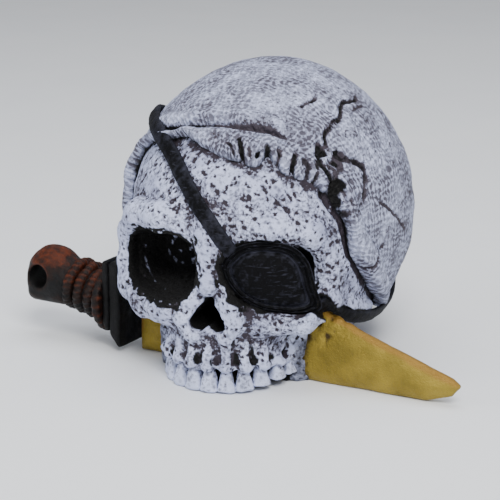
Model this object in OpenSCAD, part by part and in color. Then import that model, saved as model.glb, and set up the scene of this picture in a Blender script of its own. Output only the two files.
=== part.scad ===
// Hollow skull ornament: a jawless skull in a torn headscarf and an eye patch, with a dagger
// through it. It stands on a plate, and an air stone on a pull-out stem sits inside.
// +Z is up, the face looks along -Y, and the dagger's point is on the +X side.
// The origin is on the ground under the middle of the whole ornament.

/* [Skull] */
// Middle plane of the skull, measured from the origin
mid_x = 2; // [0:0.5:4]
// Middle of the dome, front to back
dome_y = -1; // [-3:0.5:2]
// Height of the dome's middle
dome_z = 40.5; // [38:0.5:42]
// Half width of the headscarf over the dome
dome_rx = 40.5; // [38:0.5:42]
// Half length of the headscarf over the dome, front to back
dome_ry = 47; // [45:0.5:48]
// Half height of the headscarf over the dome
dome_rz = 43.5; // [41:0.5:44]
// Thickness of the bone wall
wall_t = 4; // [3:0.5:6]
// Half width of the row of teeth
arch_w = 20.5; // [18:0.5:22]
// Where the front teeth start, front to back
arch_front = -51; // [-52:0.5:-49]
// Height of the teeth
tooth_h = 6.2; // [5:0.2:8]
// Half width of the right eye socket
socket_w = 10.5; // [8:0.5:11]
// Half height of the right eye socket
socket_h = 8.4; // [7:0.2:9]

/* [Headscarf and eye patch] */
// Thickness of the headscarf
scarf_t = 1.8; // [1.4:0.1:2.2]
// How far the rolled hem stands out from the scarf
hem_proud = 1.1; // [0.5:0.1:2]
// Half width of the knot at the back
knot_w = 9; // [7:0.5:11]
// Length of the eye patch
patch_len = 29; // [24:1:32]
// Height of the eye patch
patch_h = 21; // [18:1:24]
// Width of the patch's strap
strap_w = 4.6; // [3:0.2:6]
// Thickness of the patch's strap
strap_t = 1.8; // [1.2:0.1:2.4]

/* [Dagger] */
// Length from the pommel's end to the point
dagger_len = 140; // [120:1:160]
// Where the dagger passes the middle of the skull, front to back
dagger_y = -25; // [-28:0.5:-22]
// How far the point is turned towards the front, in degrees
dagger_turn = 9; // [0:1:12]
// Thickness of the blade
blade_t = 5; // [3:0.5:7]
// Radius of the grip under its wrapping
grip_r = 6.6; // [5:0.2:8]
// Number of turns of wrapping on the grip
wrap_turns = 3; // [2:1:3]
// Radius of the pommel
pommel_r = 9; // [8:0.2:10]
// Radius of the hole through the pommel
pommel_hole_r = 2.6; // [2:0.1:3.5]

/* [Base and air] */
// Thickness of the plate that closes the skull underneath
plate_t = 2.4; // [2:0.2:4]
// Radius of the flood hole in the plate
flood_r = 5; // [3:0.5:7]
// Height of the air inlet above the ground
inlet_z = 14; // [13:0.5:16]
// How far back the end of the nipple is
inlet_end = 51; // [50:0.5:54]
// Outer radius of the nipple that the air hose pushes on to
nipple_r = 2.5; // [2:0.1:3]
// Length of the nipple
nipple_len = 10; // [8:1:12]
// Radius of the air stone
stone_r = 6.5; // [5:0.5:7]
// Length of the air stone
stone_len = 20; // [14:1:24]

/* [Hidden] */

bone_col = "gainsboro";
scarf_col = "lightgray";
strap_col = "dimgray";
gold_col = "goldenrod";
grip_col = "saddlebrown";
black_col = [0.12, 0.12, 0.13];

gap = 0.3;
fit_gap = 0.15;
dome_c = [mid_x, dome_y, dome_z];
scarf_r = [dome_rx, dome_ry, dome_rz];
bone_r = scarf_r - (scarf_t + gap) * [1, 1, 1];
inner_r = bone_r - wall_t * [1, 1, 1];

// A point over the dome: az runs from the face (0) to the skull's left (90), el is the height angle
function around(az, el) = [cos(el) * sin(az), -cos(el) * cos(az), sin(el)];
function on_dome(az, el, proud) =
  dome_c + [for (i = [0:2]) (scarf_r[i] + proud) * around(az, el)[i]];
function out_from_dome(az, el) =
  let (n = [for (i = [0:2]) around(az, el)[i] / scarf_r[i]]) n / norm(n);

// Lower edge of the headscarf's hem, and the line where the hem meets the scarf: [az, el]
hem_edge = [
  [-180, -40], [-120, -42], [-94, -38], [-78, -18], [-68, 8], [-60, 26], [-44, 37], [-26, 41],
  [-12, 38], [0, 35], [10, 32], [26, 30], [38, 25], [48, 20], [54, 8], [58, -4], [66, -15],
  [80, -29], [94, -38], [120, -42], [180, -40]
];
hem_top = [
  [-180, -31], [-120, -33], [-94, -27], [-80, 0], [-70, 24], [-60, 34], [-44, 43], [-26, 46],
  [-8, 45], [10, 42], [26, 38], [38, 34], [48, 31], [56, 22], [62, 5], [70, -6],
  [82, -20], [94, -29], [120, -33], [180, -31]
];

// Joins rings of equal length into a closed solid; the first and last rings are capped
function ring_faces(rings, n, open = false) = concat(
  [for (i = [0:rings - 2], j = [0:n - 1])
    [i * n + j, i * n + (j + 1) % n, (i + 1) * n + (j + 1) % n, (i + 1) * n + j]],
  open ? [for (j = [0:n - 1])
    [(rings - 1) * n + j, (rings - 1) * n + (j + 1) % n, (j + 1) % n, j]] : [],
  open ? [] : [[for (j = [n - 1:-1:0]) j], [for (j = [0:n - 1]) (rings - 1) * n + j]]
);

module tube_through(rings, open = false) {
  n = len(rings[0]);
  polyhedron(
    points = [for (r = rings, p = r) p],
    faces = ring_faces(len(rings), n, open),
    convexity = 8
  );
}

// A cloth band over the dome between two edge lines, from one depth out to another
module dome_band(low, high, depth_in, depth_out, crown, rows) {
  az_step = 6;
  rings = [for (az = [-180:az_step:180 - az_step])
    let (lo = lookup(az, low), hi = lookup(az, high))
    concat(
      [for (k = [0:rows]) on_dome(az, lo + (hi - lo) * k / rows,
        depth_out + crown * sin(180 * k / rows))],
      [for (k = [rows:-1:0]) on_dome(az, lo + (hi - lo) * k / rows, depth_in)]
    )];
  tube_through(rings, open = true);
}

// A flat strap that follows the dome through points given as [az, el, proud]
function strap_ring(p, t, out, w, h) =
  let (side = cross(t, out) / norm(cross(t, out)))
  [for (a = [22.5:45:359]) p + side * w / 2 * cos(a) * 1.08 + out * h / 2 * (1 + sin(a) * 1.08)];
function between(path, u) =
  let (i = min(floor(u), len(path) - 2), f = u - i) path[i] * (1 - f) + path[i + 1] * f;
module strap_over(path, w, h, per_leg, lift = 0) {
  steps = (len(path) - 1) * per_leg;
  pts = [for (k = [0:steps]) let (q = between(path, k / per_leg)) on_dome(q[0], q[1], q[2] + lift)];
  outs = [for (k = [0:steps]) let (q = between(path, k / per_leg)) out_from_dome(q[0], q[1])];
  rings = [for (k = [0:steps])
    let (t = pts[min(k + 1, steps)] - pts[max(k - 1, 0)])
    strap_ring(pts[k], t / norm(t), outs[k], w, h)];
  tube_through(rings);
}

module ball(p, r, fn = 32) {
  translate(p) sphere(r, $fn = fn);
}

module chain(points, fn = 16) {
  for (i = [0:len(points) - 2]) {
    hull() {
      ball([points[i][0], points[i][1], points[i][2]], points[i][3], fn);
      ball([points[i + 1][0], points[i + 1][1], points[i + 1][2]], points[i + 1][3], fn);
    }
  }
}

// The row of teeth: t is 0 at the middle front and 90 at the side
arch_d = 24;
function on_arch(t, inset = 0) =
  [mid_x + (arch_w - inset) * sin(t), arch_front + arch_d - (arch_d - inset) * cos(t)];

// Outline of the plate underneath: two half ovals, and the shorter one stops behind the blade
plate_back = 29;
plate_front = -17;
plate_w = 18;
function plate_outline(grow, n = 36) =
  [for (a = [0:360 / n:359])
    [mid_x + (plate_w + grow) * sin(a), cos(a) * (cos(a) < 0 ? grow - plate_front : plate_back + grow)]];

/* Dagger frame: x runs from the pommel (-) to the point (+), y across the blade, z up */
module in_dagger() {
  translate([0, dagger_y, 0]) rotate([0, 0, -dagger_turn]) children();
}
half_len = dagger_len / 2;
guard_x = -37;
guard_t = 6;
collar_t = 2.6;
blade_start = guard_x + guard_t;
tip_x = half_len;
blade_outline = [
  [blade_start, 0], [tip_x - 10, 0], [tip_x - 2.5, 2.4], [tip_x, 5.6], [tip_x - 2.5, 7.6],
  [tip_x - 8, 9.4], [tip_x - 19, 13], [tip_x - 31, 17], [30, 21], [22, 22], [8, 20.4],
  [blade_start, 18]
];
blade_edge = 1.6;
bevel_w = 3.4;

pommel_c = [-half_len + pommel_r, 0, 18.6];
collar_c = [guard_x, 0, 14];
grip_tilt = atan2(pommel_c[2] - collar_c[2], collar_c[0] - collar_t - pommel_c[0]);
grip_run = norm([pommel_c[0] - collar_c[0] + collar_t, pommel_c[2] - collar_c[2]]);
// Along the grip from the collar, local z towards the pommel
module along_grip() {
  in_dagger() translate(collar_c - [collar_t, 0, 0]) rotate([0, -90 + grip_tilt, 0]) children();
}

module blade_solid(grow = 0) {
  in_dagger() {
    rotate([90, 0, 0]) {
      translate([0, 0, -blade_edge / 2 - grow])
        linear_extrude(blade_edge + 2 * grow) offset(delta = grow) polygon(blade_outline);
      translate([0, 0, -blade_t / 2 - grow])
        linear_extrude(blade_t + 2 * grow) offset(delta = grow - bevel_w) polygon(blade_outline);
    }
  }
}

/* Air stem frame: local z runs out of the back of the skull */
module on_stem(y) {
  translate([mid_x, y, inlet_z]) rotate([-90, 0, 0]) children();
}
bushing_out_r = 10.6;
bushing_r = 8.4;
bushing_back = 37;
bushing_len = 9;
bushing_flange = 2;
bushing_flange_r = 12;
stem_room = bushing_flange_r + 1;
bung_r = bushing_r - gap;
bung_flange_r = 10;
bung_flange_t = 2;
stem_r = 3;
air_r = 1.4;
nipple_flange_r = 5.5;
nipple_start = inlet_end - nipple_len;
bung_end = bushing_back + gap + bung_flange_t;
stone_end = -10;
cup_r = 5.2;
cup_len = 5;

// Eye patch frame: local z points out of the face
patch_az = 24;
patch_c = [19.5, -41.6, 32.6];
module on_patch() {
  translate(patch_c) rotate([90 - 4, 0, patch_az]) children();
}
patch_back_t = 3.6;
patch_corner = patch_h / 2;
module patch_form(grow, h, lift = 0) {
  on_patch() translate([0, 0, lift]) hull() {
    translate([patch_len / 2 - patch_corner - 4, 1, 0])
      cylinder(r = patch_corner - 1 + grow, h = h, $fn = 32);
    translate([-patch_len / 2 + patch_corner * 0.8, 0.5, 0])
      cylinder(r = patch_corner * 0.8 + grow, h = h, $fn = 32);
    translate([patch_len / 2 - 4.5, -5, 0])
      cylinder(r = 4.5 + grow, h = h, $fn = 32);
  }
}

module cranium(r, fn) {
  translate(dome_c) scale(r) sphere(1, $fn = fn);
}

module face_bones() {
  // upper jaw: from the gums up to the nose and cheeks
  hull() {
    for (t = [-90:18:90]) {
      translate([on_arch(t, 2.2)[0], on_arch(t, 2.2)[1], tooth_h]) cylinder(r = 1.6, h = 4, $fn = 12);
    }
    ball([mid_x - 8, arch_front + 6, 22], 4, 24);
    ball([mid_x + 8, arch_front + 6, 22], 4, 24);
    ball([mid_x - 17, -20, 24], 4, 24);
    ball([mid_x + 17, -20, 24], 4, 24);
  }
  // root ridges over the teeth
  for (t = [-72:16:72]) {
    hull() {
      ball([on_arch(t, 1.2)[0], on_arch(t, 1.2)[1], tooth_h + 1.4], 1.2, 12);
      ball([on_arch(t, 2.6)[0], on_arch(t, 2.6)[1], tooth_h + 8], 1.6, 12);
    }
  }
  // bridge of the nose
  chain([[mid_x, -43, 44, 4.6], [mid_x, -46, 34, 3.4], [mid_x, -48, 28.5, 2.2]]);
  for (s = [-1, 1]) {
    // brow, running down into the outer rim of the eye
    chain([[mid_x + s * 4, -44, 44.5, 4.2], [mid_x + s * 15, -42.5, 46, 4], [mid_x + s * 26, -36, 44, 3.6],
      [mid_x + s * 30.5, -32, 37, 3.6], [mid_x + s * 29.5, -33, 27, 3.8]]);
    // cheekbone
    chain([[mid_x + s * 29.5, -33, 27, 3.8], [mid_x + s * 26.5, -35, 22.5, 4.2],
      [mid_x + s * 19, -40, 20.5, 4.4], [mid_x + s * 9, -46, 23, 3.4]]);
    // arch that runs back from the cheekbone
    chain([[mid_x + s * 26.5, -34, 22, 4], [mid_x + s * 28.5, -20, 19.5, 3]]);
  }
}

module neck() {
  hull() {
    linear_extrude(1) polygon(plate_outline(4));
    translate([mid_x, 2, 22]) scale([28, 34, 1]) cylinder(r = 1, h = 1, $fn = 36);
  }
}

socket_c = [14.8, -50, 34.4];
module eye_hollow(side, w, h) {
  hull() {
    translate([mid_x + side * socket_c[0], socket_c[1], socket_c[2]]) rotate([90, 0, 0]) scale([w, h, 1])
      cylinder(r = 1, h = 4, $fn = 28);
    translate([mid_x + side * 11.5, -34, 35]) scale([w * 0.6, 4, h * 0.6]) sphere(1, $fn = 20);
  }
}

module nose_hollow() {
  hull() {
    for (s = [-1, 1]) {
      translate([mid_x + s * 3.4, -54, 18.6]) rotate([-90, 0, 0]) cylinder(r = 1.8, h = 24, $fn = 24);
    }
    translate([mid_x, -54, 25.6]) rotate([-90, 0, 0]) cylinder(r = 1, h = 24, $fn = 24);
  }
}

vent_az = 48;
vent_el = 17;
vent_r = 2.2;
module vent() {
  translate(dome_c) rotate([0, 0, vent_az]) rotate([90 - vent_el, 0, 0]) translate([0, 0, 20])
    cylinder(r = vent_r, h = 40, $fn = 24);
}

module inner_hollow() {
  cranium(inner_r, 32);
  hull() {
    translate([0, 0, -1]) linear_extrude(1) polygon(plate_outline(fit_gap));
    translate([mid_x, 0, 20]) scale([22, 30, 1]) cylinder(r = 1, h = 4, $fn = 36);
  }
}

module skull_shell() {
  color(bone_col) difference() {
    union() {
      intersection() {
        cranium(bone_r, 48);
        translate([-100, -100, 12]) cube(200);
      }
      face_bones();
      neck();
      on_stem(bushing_back - bushing_len) cylinder(r = 12.5, h = bushing_len - bushing_flange, $fn = 40);
    }
    difference() {
      inner_hollow();
      // walls behind the eye sockets
      for (s = [-1, 1]) {
        translate([mid_x + s * 13, -34, 35]) scale([10, 7.5, 9.4]) sphere(1, $fn = 20);
      }
    }
    eye_hollow(-1, socket_w, socket_h);
    eye_hollow(1, socket_w - 1, socket_h - 1);
    nose_hollow();
    vent();
    patch_form(gap, 20, -1);
    blade_solid(gap);
    guard_form(gap);
    // seats for the straps and the hem
    strap_over(upper_route, strap_w + 2 * gap, strap_t + 2 * gap, 2, -gap);
    strap_over(lower_route, strap_w + 2 * gap, strap_t + 2 * gap, 2, -gap);
    dome_band(hem_edge, hem_top, -scarf_t - gap, 3, 0, 2);
    // hole for the bushing and room for its flange
    on_stem(0) cylinder(r = bushing_out_r + fit_gap, h = 60, $fn = 36);
    on_stem(bushing_back - bushing_flange - 0.01) cylinder(r = bushing_flange_r + gap, h = 40, $fn = 36);
    translate([-100, -100, -20]) cube([200, 200, 20]);
  }
}

module tooth(t, w) {
  translate([on_arch(t, 2)[0], on_arch(t, 2)[1], 0]) rotate([0, 0, t]) hull() {
    translate([0, 0, 0.8]) scale([w / 2, 2, 0.8]) sphere(1, $fn = 16);
    translate([0, 0.4, 0]) scale([w / 2 * 0.5, 1.6, 1]) translate([0, 0, tooth_h - 0.6])
      cylinder(r = 1, h = 0.5, $fn = 16);
  }
}

// Places of the teeth round the arch, in degrees
front_teeth_at = [-31, -15, 0, 15, 30, 45];
cheek_teeth_at = [-78, -62, -47, 60, 74];
tooth_w = 5.2;
module front_teeth() {
  color("whitesmoke") for (t = front_teeth_at) tooth(t, tooth_w);
}
module cheek_teeth() {
  color("whitesmoke") for (t = cheek_teeth_at) tooth(t, tooth_w);
}

module headscarf() {
  color(scarf_col) difference() {
    dome_band(hem_top, [[-180, 89.5], [180, 89.5]], -scarf_t, 0, 0, 14);
    vent();
    on_stem(20) cylinder(r = stem_room, h = 60, $fn = 32);
  }
}
module scarf_hem() {
  color(scarf_col) difference() {
    dome_band(hem_edge, hem_top, -scarf_t, 0, hem_proud, 4);
    vent();
    on_stem(20) cylinder(r = stem_room, h = 60, $fn = 32);
  }
}

knot_z = 35;
knot_ball = 2.4;
knot_y = inlet_end - knot_ball;
module scarf_knot() {
  color(scarf_col) hull() {
    for (s = [-1, 1], k = [-1, 1]) {
      ball([mid_x + s * (knot_w - knot_ball), knot_y - 0.4, knot_z + k * 2.4], knot_ball, 20);
    }
    ball([mid_x, knot_y, knot_z + 3.2], knot_ball, 20);
    ball([mid_x, knot_y, knot_z - 3.2], knot_ball, 20);
  }
}
// Tail routes on the skull's left side: [az, el, height over the scarf's surface]
tail_route = [[168, -12, 1.4], [163, -19, 1.6], [157, -27, 1.8], [150, -35, 2]];
tail_w = 9;
tail_t = 2;
module scarf_tail() {
  strap_over(tail_route, tail_w, tail_t, 3);
}
module scarf_tail_left() {
  color(scarf_col) scarf_tail();
}
module scarf_tail_right() {
  color(scarf_col) translate([2 * mid_x, 0, 0]) mirror([1, 0, 0]) scarf_tail();
}

rim_w = 2;
module eye_patch() {
  color(strap_col) patch_form(-rim_w, patch_back_t + 0.8);
}
module patch_rim() {
  color(black_col) difference() {
    patch_form(0, patch_back_t);
    patch_form(-rim_w, patch_back_t + 4, -2);
  }
}

// Strap routes over the dome: [az, el, height over the scarf's surface]
upper_route = [
  [8, -1, -1], [2, 8, -1.3], [-5, 14, -1.4], [-14, 22, -1.4], [-26, 30, -1.2], [-42, 36.5, 1.3], [-58, 39, 1.3],
  [-74, 39, 1.3], [-95, 34, 0.1], [-120, 22, 0.1], [-145, 8, 0.1], [-165, -3, 0.1]
];
lower_route = [
  [42, -20, -0.6], [48, -25, -0.4], [56, -30, 0.2], [68, -34, 0.8], [82, -36, 1.3], [98, -36, 1.3],
  [118, -34, 1.3], [146, -26, 1.3]
];
module upper_strap() {
  color(black_col) strap_over(upper_route, strap_w, strap_t, 3);
}
module lower_strap() {
  color(black_col) difference() {
    strap_over(lower_route, strap_w, strap_t, 3);
    blade_solid(gap);
  }
}

module dagger_blade() {
  color(gold_col) blade_solid();
}
guard_h = 27;
guard_low = 1;
guard_w = 15;
guard_corner = 3.5;
module guard_form(grow = 0) {
  in_dagger() hull() {
    for (y = [-1, 1], z = [guard_low + guard_corner, guard_h - guard_corner]) {
      translate([guard_x - grow, y * (guard_w / 2 - guard_corner), z])
        rotate([0, 90, 0]) cylinder(r = guard_corner + grow, h = guard_t + 2 * grow, $fn = 32);
    }
  }
}
module dagger_guard() {
  color(black_col) guard_form();
}
module guard_collar() {
  color(grip_col) in_dagger() translate(collar_c) rotate([0, -90, 0])
    cylinder(r = grip_r + 3, h = collar_t, $fn = 48);
}
module dagger_grip() {
  color(black_col) difference() {
    along_grip() translate([0, 0, -2]) cylinder(r = grip_r, h = grip_run + 2, $fn = 48);
    in_dagger() translate(pommel_c) rotate([90, 0, 0])
      cylinder(r = pommel_r, h = 4 * pommel_r, center = true, $fn = 64);
    in_dagger() translate([guard_x - collar_t, -30, -10]) cube([40, 60, 60]);
  }
}
wrap_r = 1.6;
wrap_pitch = 3.6;
wrap_start = 3.3;
module grip_wrap() {
  color(grip_col) along_grip() {
    for (k = [0:wrap_turns - 1]) {
      translate([0, 0, wrap_start + k * wrap_pitch]) rotate_extrude($fn = 48) difference() {
        translate([grip_r, 0]) circle(r = wrap_r, $fn = 24);
        translate([0, -wrap_r]) square([grip_r, 2 * wrap_r]);
      }
    }
  }
}
pommel_t = 15;
hole_shift = 2.4;
module dagger_pommel() {
  color(grip_col) in_dagger() translate(pommel_c) rotate([90, 0, 0]) difference() {
    rotate_extrude($fn = 64) intersection() {
      circle(r = pommel_r, $fn = 64);
      translate([0, -pommel_t / 2]) square([pommel_r + 1, pommel_t]);
    }
    translate([-hole_shift, 0, -pommel_t]) cylinder(r = pommel_hole_r, h = 2 * pommel_t, $fn = 32);
  }
}

module base_plate() {
  color("darkgray") difference() {
    linear_extrude(plate_t) polygon(plate_outline(0));
    translate([mid_x, 6, -1]) cylinder(r = flood_r, h = plate_t + 2, $fn = 32);
  }
}
module inlet_bushing() {
  color("darkslategray") difference() {
    union() {
      on_stem(bushing_back - bushing_len) cylinder(r = bushing_out_r, h = bushing_len, $fn = 48);
      on_stem(bushing_back - bushing_flange) cylinder(r = bushing_flange_r, h = bushing_flange, $fn = 48);
    }
    on_stem(0) cylinder(r = bushing_r, h = 60, $fn = 48);
  }
}

module bung() {
  color("black") difference() {
    union() {
      on_stem(bushing_back - bushing_len + 1)
        cylinder(r = bung_r, h = bushing_len - 1 + gap + bung_flange_t, $fn = 48);
      on_stem(bushing_back + gap) cylinder(r = bung_flange_r, h = bung_flange_t, $fn = 48);
    }
    on_stem(0) cylinder(r = stem_r, h = 60, $fn = 48);
  }
}
module inlet_nipple() {
  color("white") difference() {
    union() {
      on_stem(bung_end) cylinder(r = nipple_flange_r, h = nipple_start - bung_end, $fn = 48);
      on_stem(nipple_start) cylinder(r = nipple_r, h = nipple_len, $fn = 48);
    }
    on_stem(0) cylinder(r = air_r, h = 60, $fn = 32);
  }
}
tube_start = stone_end + stone_len + 1;
module air_tube() {
  color("lightblue") difference() {
    on_stem(tube_start) cylinder(r = stem_r, h = bung_end - tube_start, $fn = 48);
    on_stem(0) cylinder(r = air_r, h = 60, $fn = 32);
  }
}
module stone_cup() {
  color("steelblue") difference() {
    on_stem(tube_start - 1) cylinder(r = cup_r, h = cup_len + 1, $fn = 48);
    on_stem(tube_start) cylinder(r = stem_r, h = 60, $fn = 48);
    on_stem(tube_start - 2) cylinder(r = air_r, h = 60, $fn = 32);
  }
}
module air_stone() {
  color("slategray") on_stem(stone_end) cylinder(r = stone_r, h = stone_len, $fn = 48);
}

skull_shell();
front_teeth();
cheek_teeth();
headscarf();
scarf_hem();
scarf_knot();
scarf_tail_left();
scarf_tail_right();
eye_patch();
patch_rim();
upper_strap();
lower_strap();
dagger_blade();
dagger_guard();
guard_collar();
dagger_grip();
grip_wrap();
dagger_pommel();
base_plate();
inlet_bushing();
bung();
inlet_nipple();
air_tube();
stone_cup();
air_stone();
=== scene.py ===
import math

import bpy
import numpy as np
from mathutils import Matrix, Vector


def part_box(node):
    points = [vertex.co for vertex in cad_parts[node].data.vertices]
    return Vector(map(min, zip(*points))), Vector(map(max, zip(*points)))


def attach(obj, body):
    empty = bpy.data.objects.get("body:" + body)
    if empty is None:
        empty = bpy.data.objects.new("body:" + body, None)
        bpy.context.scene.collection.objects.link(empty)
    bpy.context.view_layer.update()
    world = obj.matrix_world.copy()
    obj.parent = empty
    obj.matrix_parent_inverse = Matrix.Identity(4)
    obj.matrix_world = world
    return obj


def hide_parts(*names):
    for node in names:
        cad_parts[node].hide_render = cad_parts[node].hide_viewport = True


# A cast resin skull in a torn headscarf, with an eye patch and a dagger through it.
# Shapes are worked out in millimetres in the frame's axes and become metres in make().
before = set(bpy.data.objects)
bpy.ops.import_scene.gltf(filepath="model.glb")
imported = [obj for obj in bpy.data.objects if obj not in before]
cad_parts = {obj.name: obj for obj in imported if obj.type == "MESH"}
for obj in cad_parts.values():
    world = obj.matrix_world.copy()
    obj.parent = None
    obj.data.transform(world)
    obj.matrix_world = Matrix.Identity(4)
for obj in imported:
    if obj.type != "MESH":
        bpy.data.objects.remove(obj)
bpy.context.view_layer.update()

MM = 0.001
MID = 2.0                                    # the skull's middle plane
DOME = np.array([MID, -1.0, 40.5])           # the dome's middle
CLOTH = np.array([40.5, 47.0, 43.5])         # half sizes of the scarf over the dome
BONE = CLOTH - 2.1                           # half sizes of the bone under it
STEM_Z = 14.0                                # height of the air stem
TEETH_FRONT = -51.0
ARCH_W = 20.5
ARCH_D = 24.0
UNDER = -1.9                                 # lift of the undersides of the hem and the patch
DAGGER_Y = -25.0
DAGGER_TURN = math.radians(-9)


# ---------------------------------------------------------------- camera, light and floor

def set_camera():
    target = Vector((-4.05, -2.0, 27.7)) * MM
    az, el, far = math.radians(21), math.radians(15), 0.560
    away = Vector((math.sin(az) * math.cos(el), -math.cos(az) * math.cos(el), math.sin(el)))
    data = bpy.data.cameras.new("camera")
    data.lens = 138.6
    data.clip_start = 0.01
    cam = bpy.data.objects.new("camera", data)
    cam.location = target + away * far
    cam.rotation_euler = away.to_track_quat("Z", "Y").to_euler()
    bpy.context.collection.objects.link(cam)
    bpy.context.scene.camera = cam


def add_softbox(name, place, size, power, tint=(1, 1, 1)):
    data = bpy.data.lights.new(name, "AREA")
    data.shape = "RECTANGLE"
    data.size, data.size_y = size
    data.energy = power
    data.color = tint
    box = bpy.data.objects.new(name, data)
    box.location = place
    aim = Vector(place) - Vector((0, 0, 0.035))
    box.rotation_euler = aim.to_track_quat("Z", "Y").to_euler()
    bpy.context.collection.objects.link(box)


def set_lights():
    add_softbox("key", (0.30, -0.55, 0.60), (0.34, 0.34), 7.2)
    add_softbox("fill", (-0.55, -0.35, 0.30), (0.45, 0.45), 1.4, (0.90, 0.94, 1.0))
    add_softbox("top", (0.0, 0.10, 0.75), (0.60, 0.60), 3.2, (0.93, 0.95, 1.0))
    world = bpy.data.worlds.new("studio")
    world.use_nodes = True
    back = world.node_tree.nodes["Background"]
    back.inputs["Color"].default_value = (0.93, 0.95, 1.0, 1)
    back.inputs["Strength"].default_value = 0.42
    bpy.context.scene.world = world


# ---------------------------------------------------------------- numbers and noise

def ease(x, lo, hi):
    t = np.clip((x - lo) / (hi - lo), 0, 1)
    return t * t * (3 - 2 * t)


def soft_min(a, b, k):
    h = np.clip(0.5 + 0.5 * (b - a) / k, 0, 1)
    return b + (a - b) * h - k * h * (1 - h)


def soft_max(a, b, k):
    return -soft_min(-a, -b, k)


def noise(p, size, seed):
    """Smooth noise from -1 to 1 at points in mm, with lumps of about this size."""
    table = np.random.default_rng(seed).uniform(-1, 1, (32, 32, 32)).astype(np.float32)
    q = p / size
    i = np.floor(q).astype(np.int64)
    f = q - i
    f = f * f * (3 - 2 * f)
    total = 0
    for dx in (0, 1):
        for dy in (0, 1):
            for dz in (0, 1):
                wx = f[:, 0] if dx else 1 - f[:, 0]
                wy = f[:, 1] if dy else 1 - f[:, 1]
                wz = f[:, 2] if dz else 1 - f[:, 2]
                corner = table[(i[:, 0] + dx) & 31, (i[:, 1] + dy) & 31, (i[:, 2] + dz) & 31]
                total = total + wx * wy * wz * corner
    return total


def rough(p, size, seed, octaves=3):
    """Several sizes of noise added together, still from about -1 to 1."""
    total, share = 0, 0
    for k in range(octaves):
        total = total + noise(p, np.asarray(size) / 2 ** k, seed + k) / 2 ** k
        share += 1 / 2 ** k
    return total / share


def holes(p, size, seed):
    """Distance in mm to the nearest of many scattered points, and that point's own number, 0 to 1."""
    table = np.random.default_rng(seed).random((32, 32, 32, 4)).astype(np.float32)
    q = p / size
    i = np.floor(q).astype(np.int64)
    near = np.full(len(p), 9.0, np.float32)
    own = np.zeros(len(p), np.float32)
    for dx in (-1, 0, 1):
        for dy in (-1, 0, 1):
            for dz in (-1, 0, 1):
                c = i + (dx, dy, dz)
                t = table[c[:, 0] & 31, c[:, 1] & 31, c[:, 2] & 31]
                d = np.linalg.norm(c + t[:, :3] - q, axis=1) * size
                closer = d < near
                near[closer] = d[closer]
                own[closer] = t[closer, 3]
    return near, own


# ---------------------------------------------------------------- clay: solids on a grid

def egg(c, r):
    def field(x, y, z):
        px, py, pz = x - c[0], y - c[1], z - c[2]
        k0 = np.sqrt((px / r[0]) ** 2 + (py / r[1]) ** 2 + (pz / r[2]) ** 2)
        k1 = np.sqrt((px / r[0] ** 2) ** 2 + (py / r[1] ** 2) ** 2 + (pz / r[2] ** 2) ** 2)
        return k0 * (k0 - 1) / np.maximum(k1, 1e-6)
    return field


def rod(a, b, ra, rb):
    """A round bar from a to b that changes from one radius to the other."""
    a, b = np.array(a, float), np.array(b, float)
    d = b - a

    def field(x, y, z):
        t = ((x - a[0]) * d[0] + (y - a[1]) * d[1] + (z - a[2]) * d[2]) / (d @ d)
        t = np.clip(t, 0, 1)
        ex, ey, ez = x - a[0] - t * d[0], y - a[1] - t * d[1], z - a[2] - t * d[2]
        return np.sqrt(ex ** 2 + ey ** 2 + ez ** 2) - (ra + (rb - ra) * t)
    return field


def both_sides(shape):
    return lambda x, y, z: shape(np.abs(x - MID), y, z)


def all_of(*fields):
    """What lies in every one of the shapes."""
    total = fields[0]
    for field in fields[1:]:
        total = np.maximum(total, field)
    return total


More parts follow.
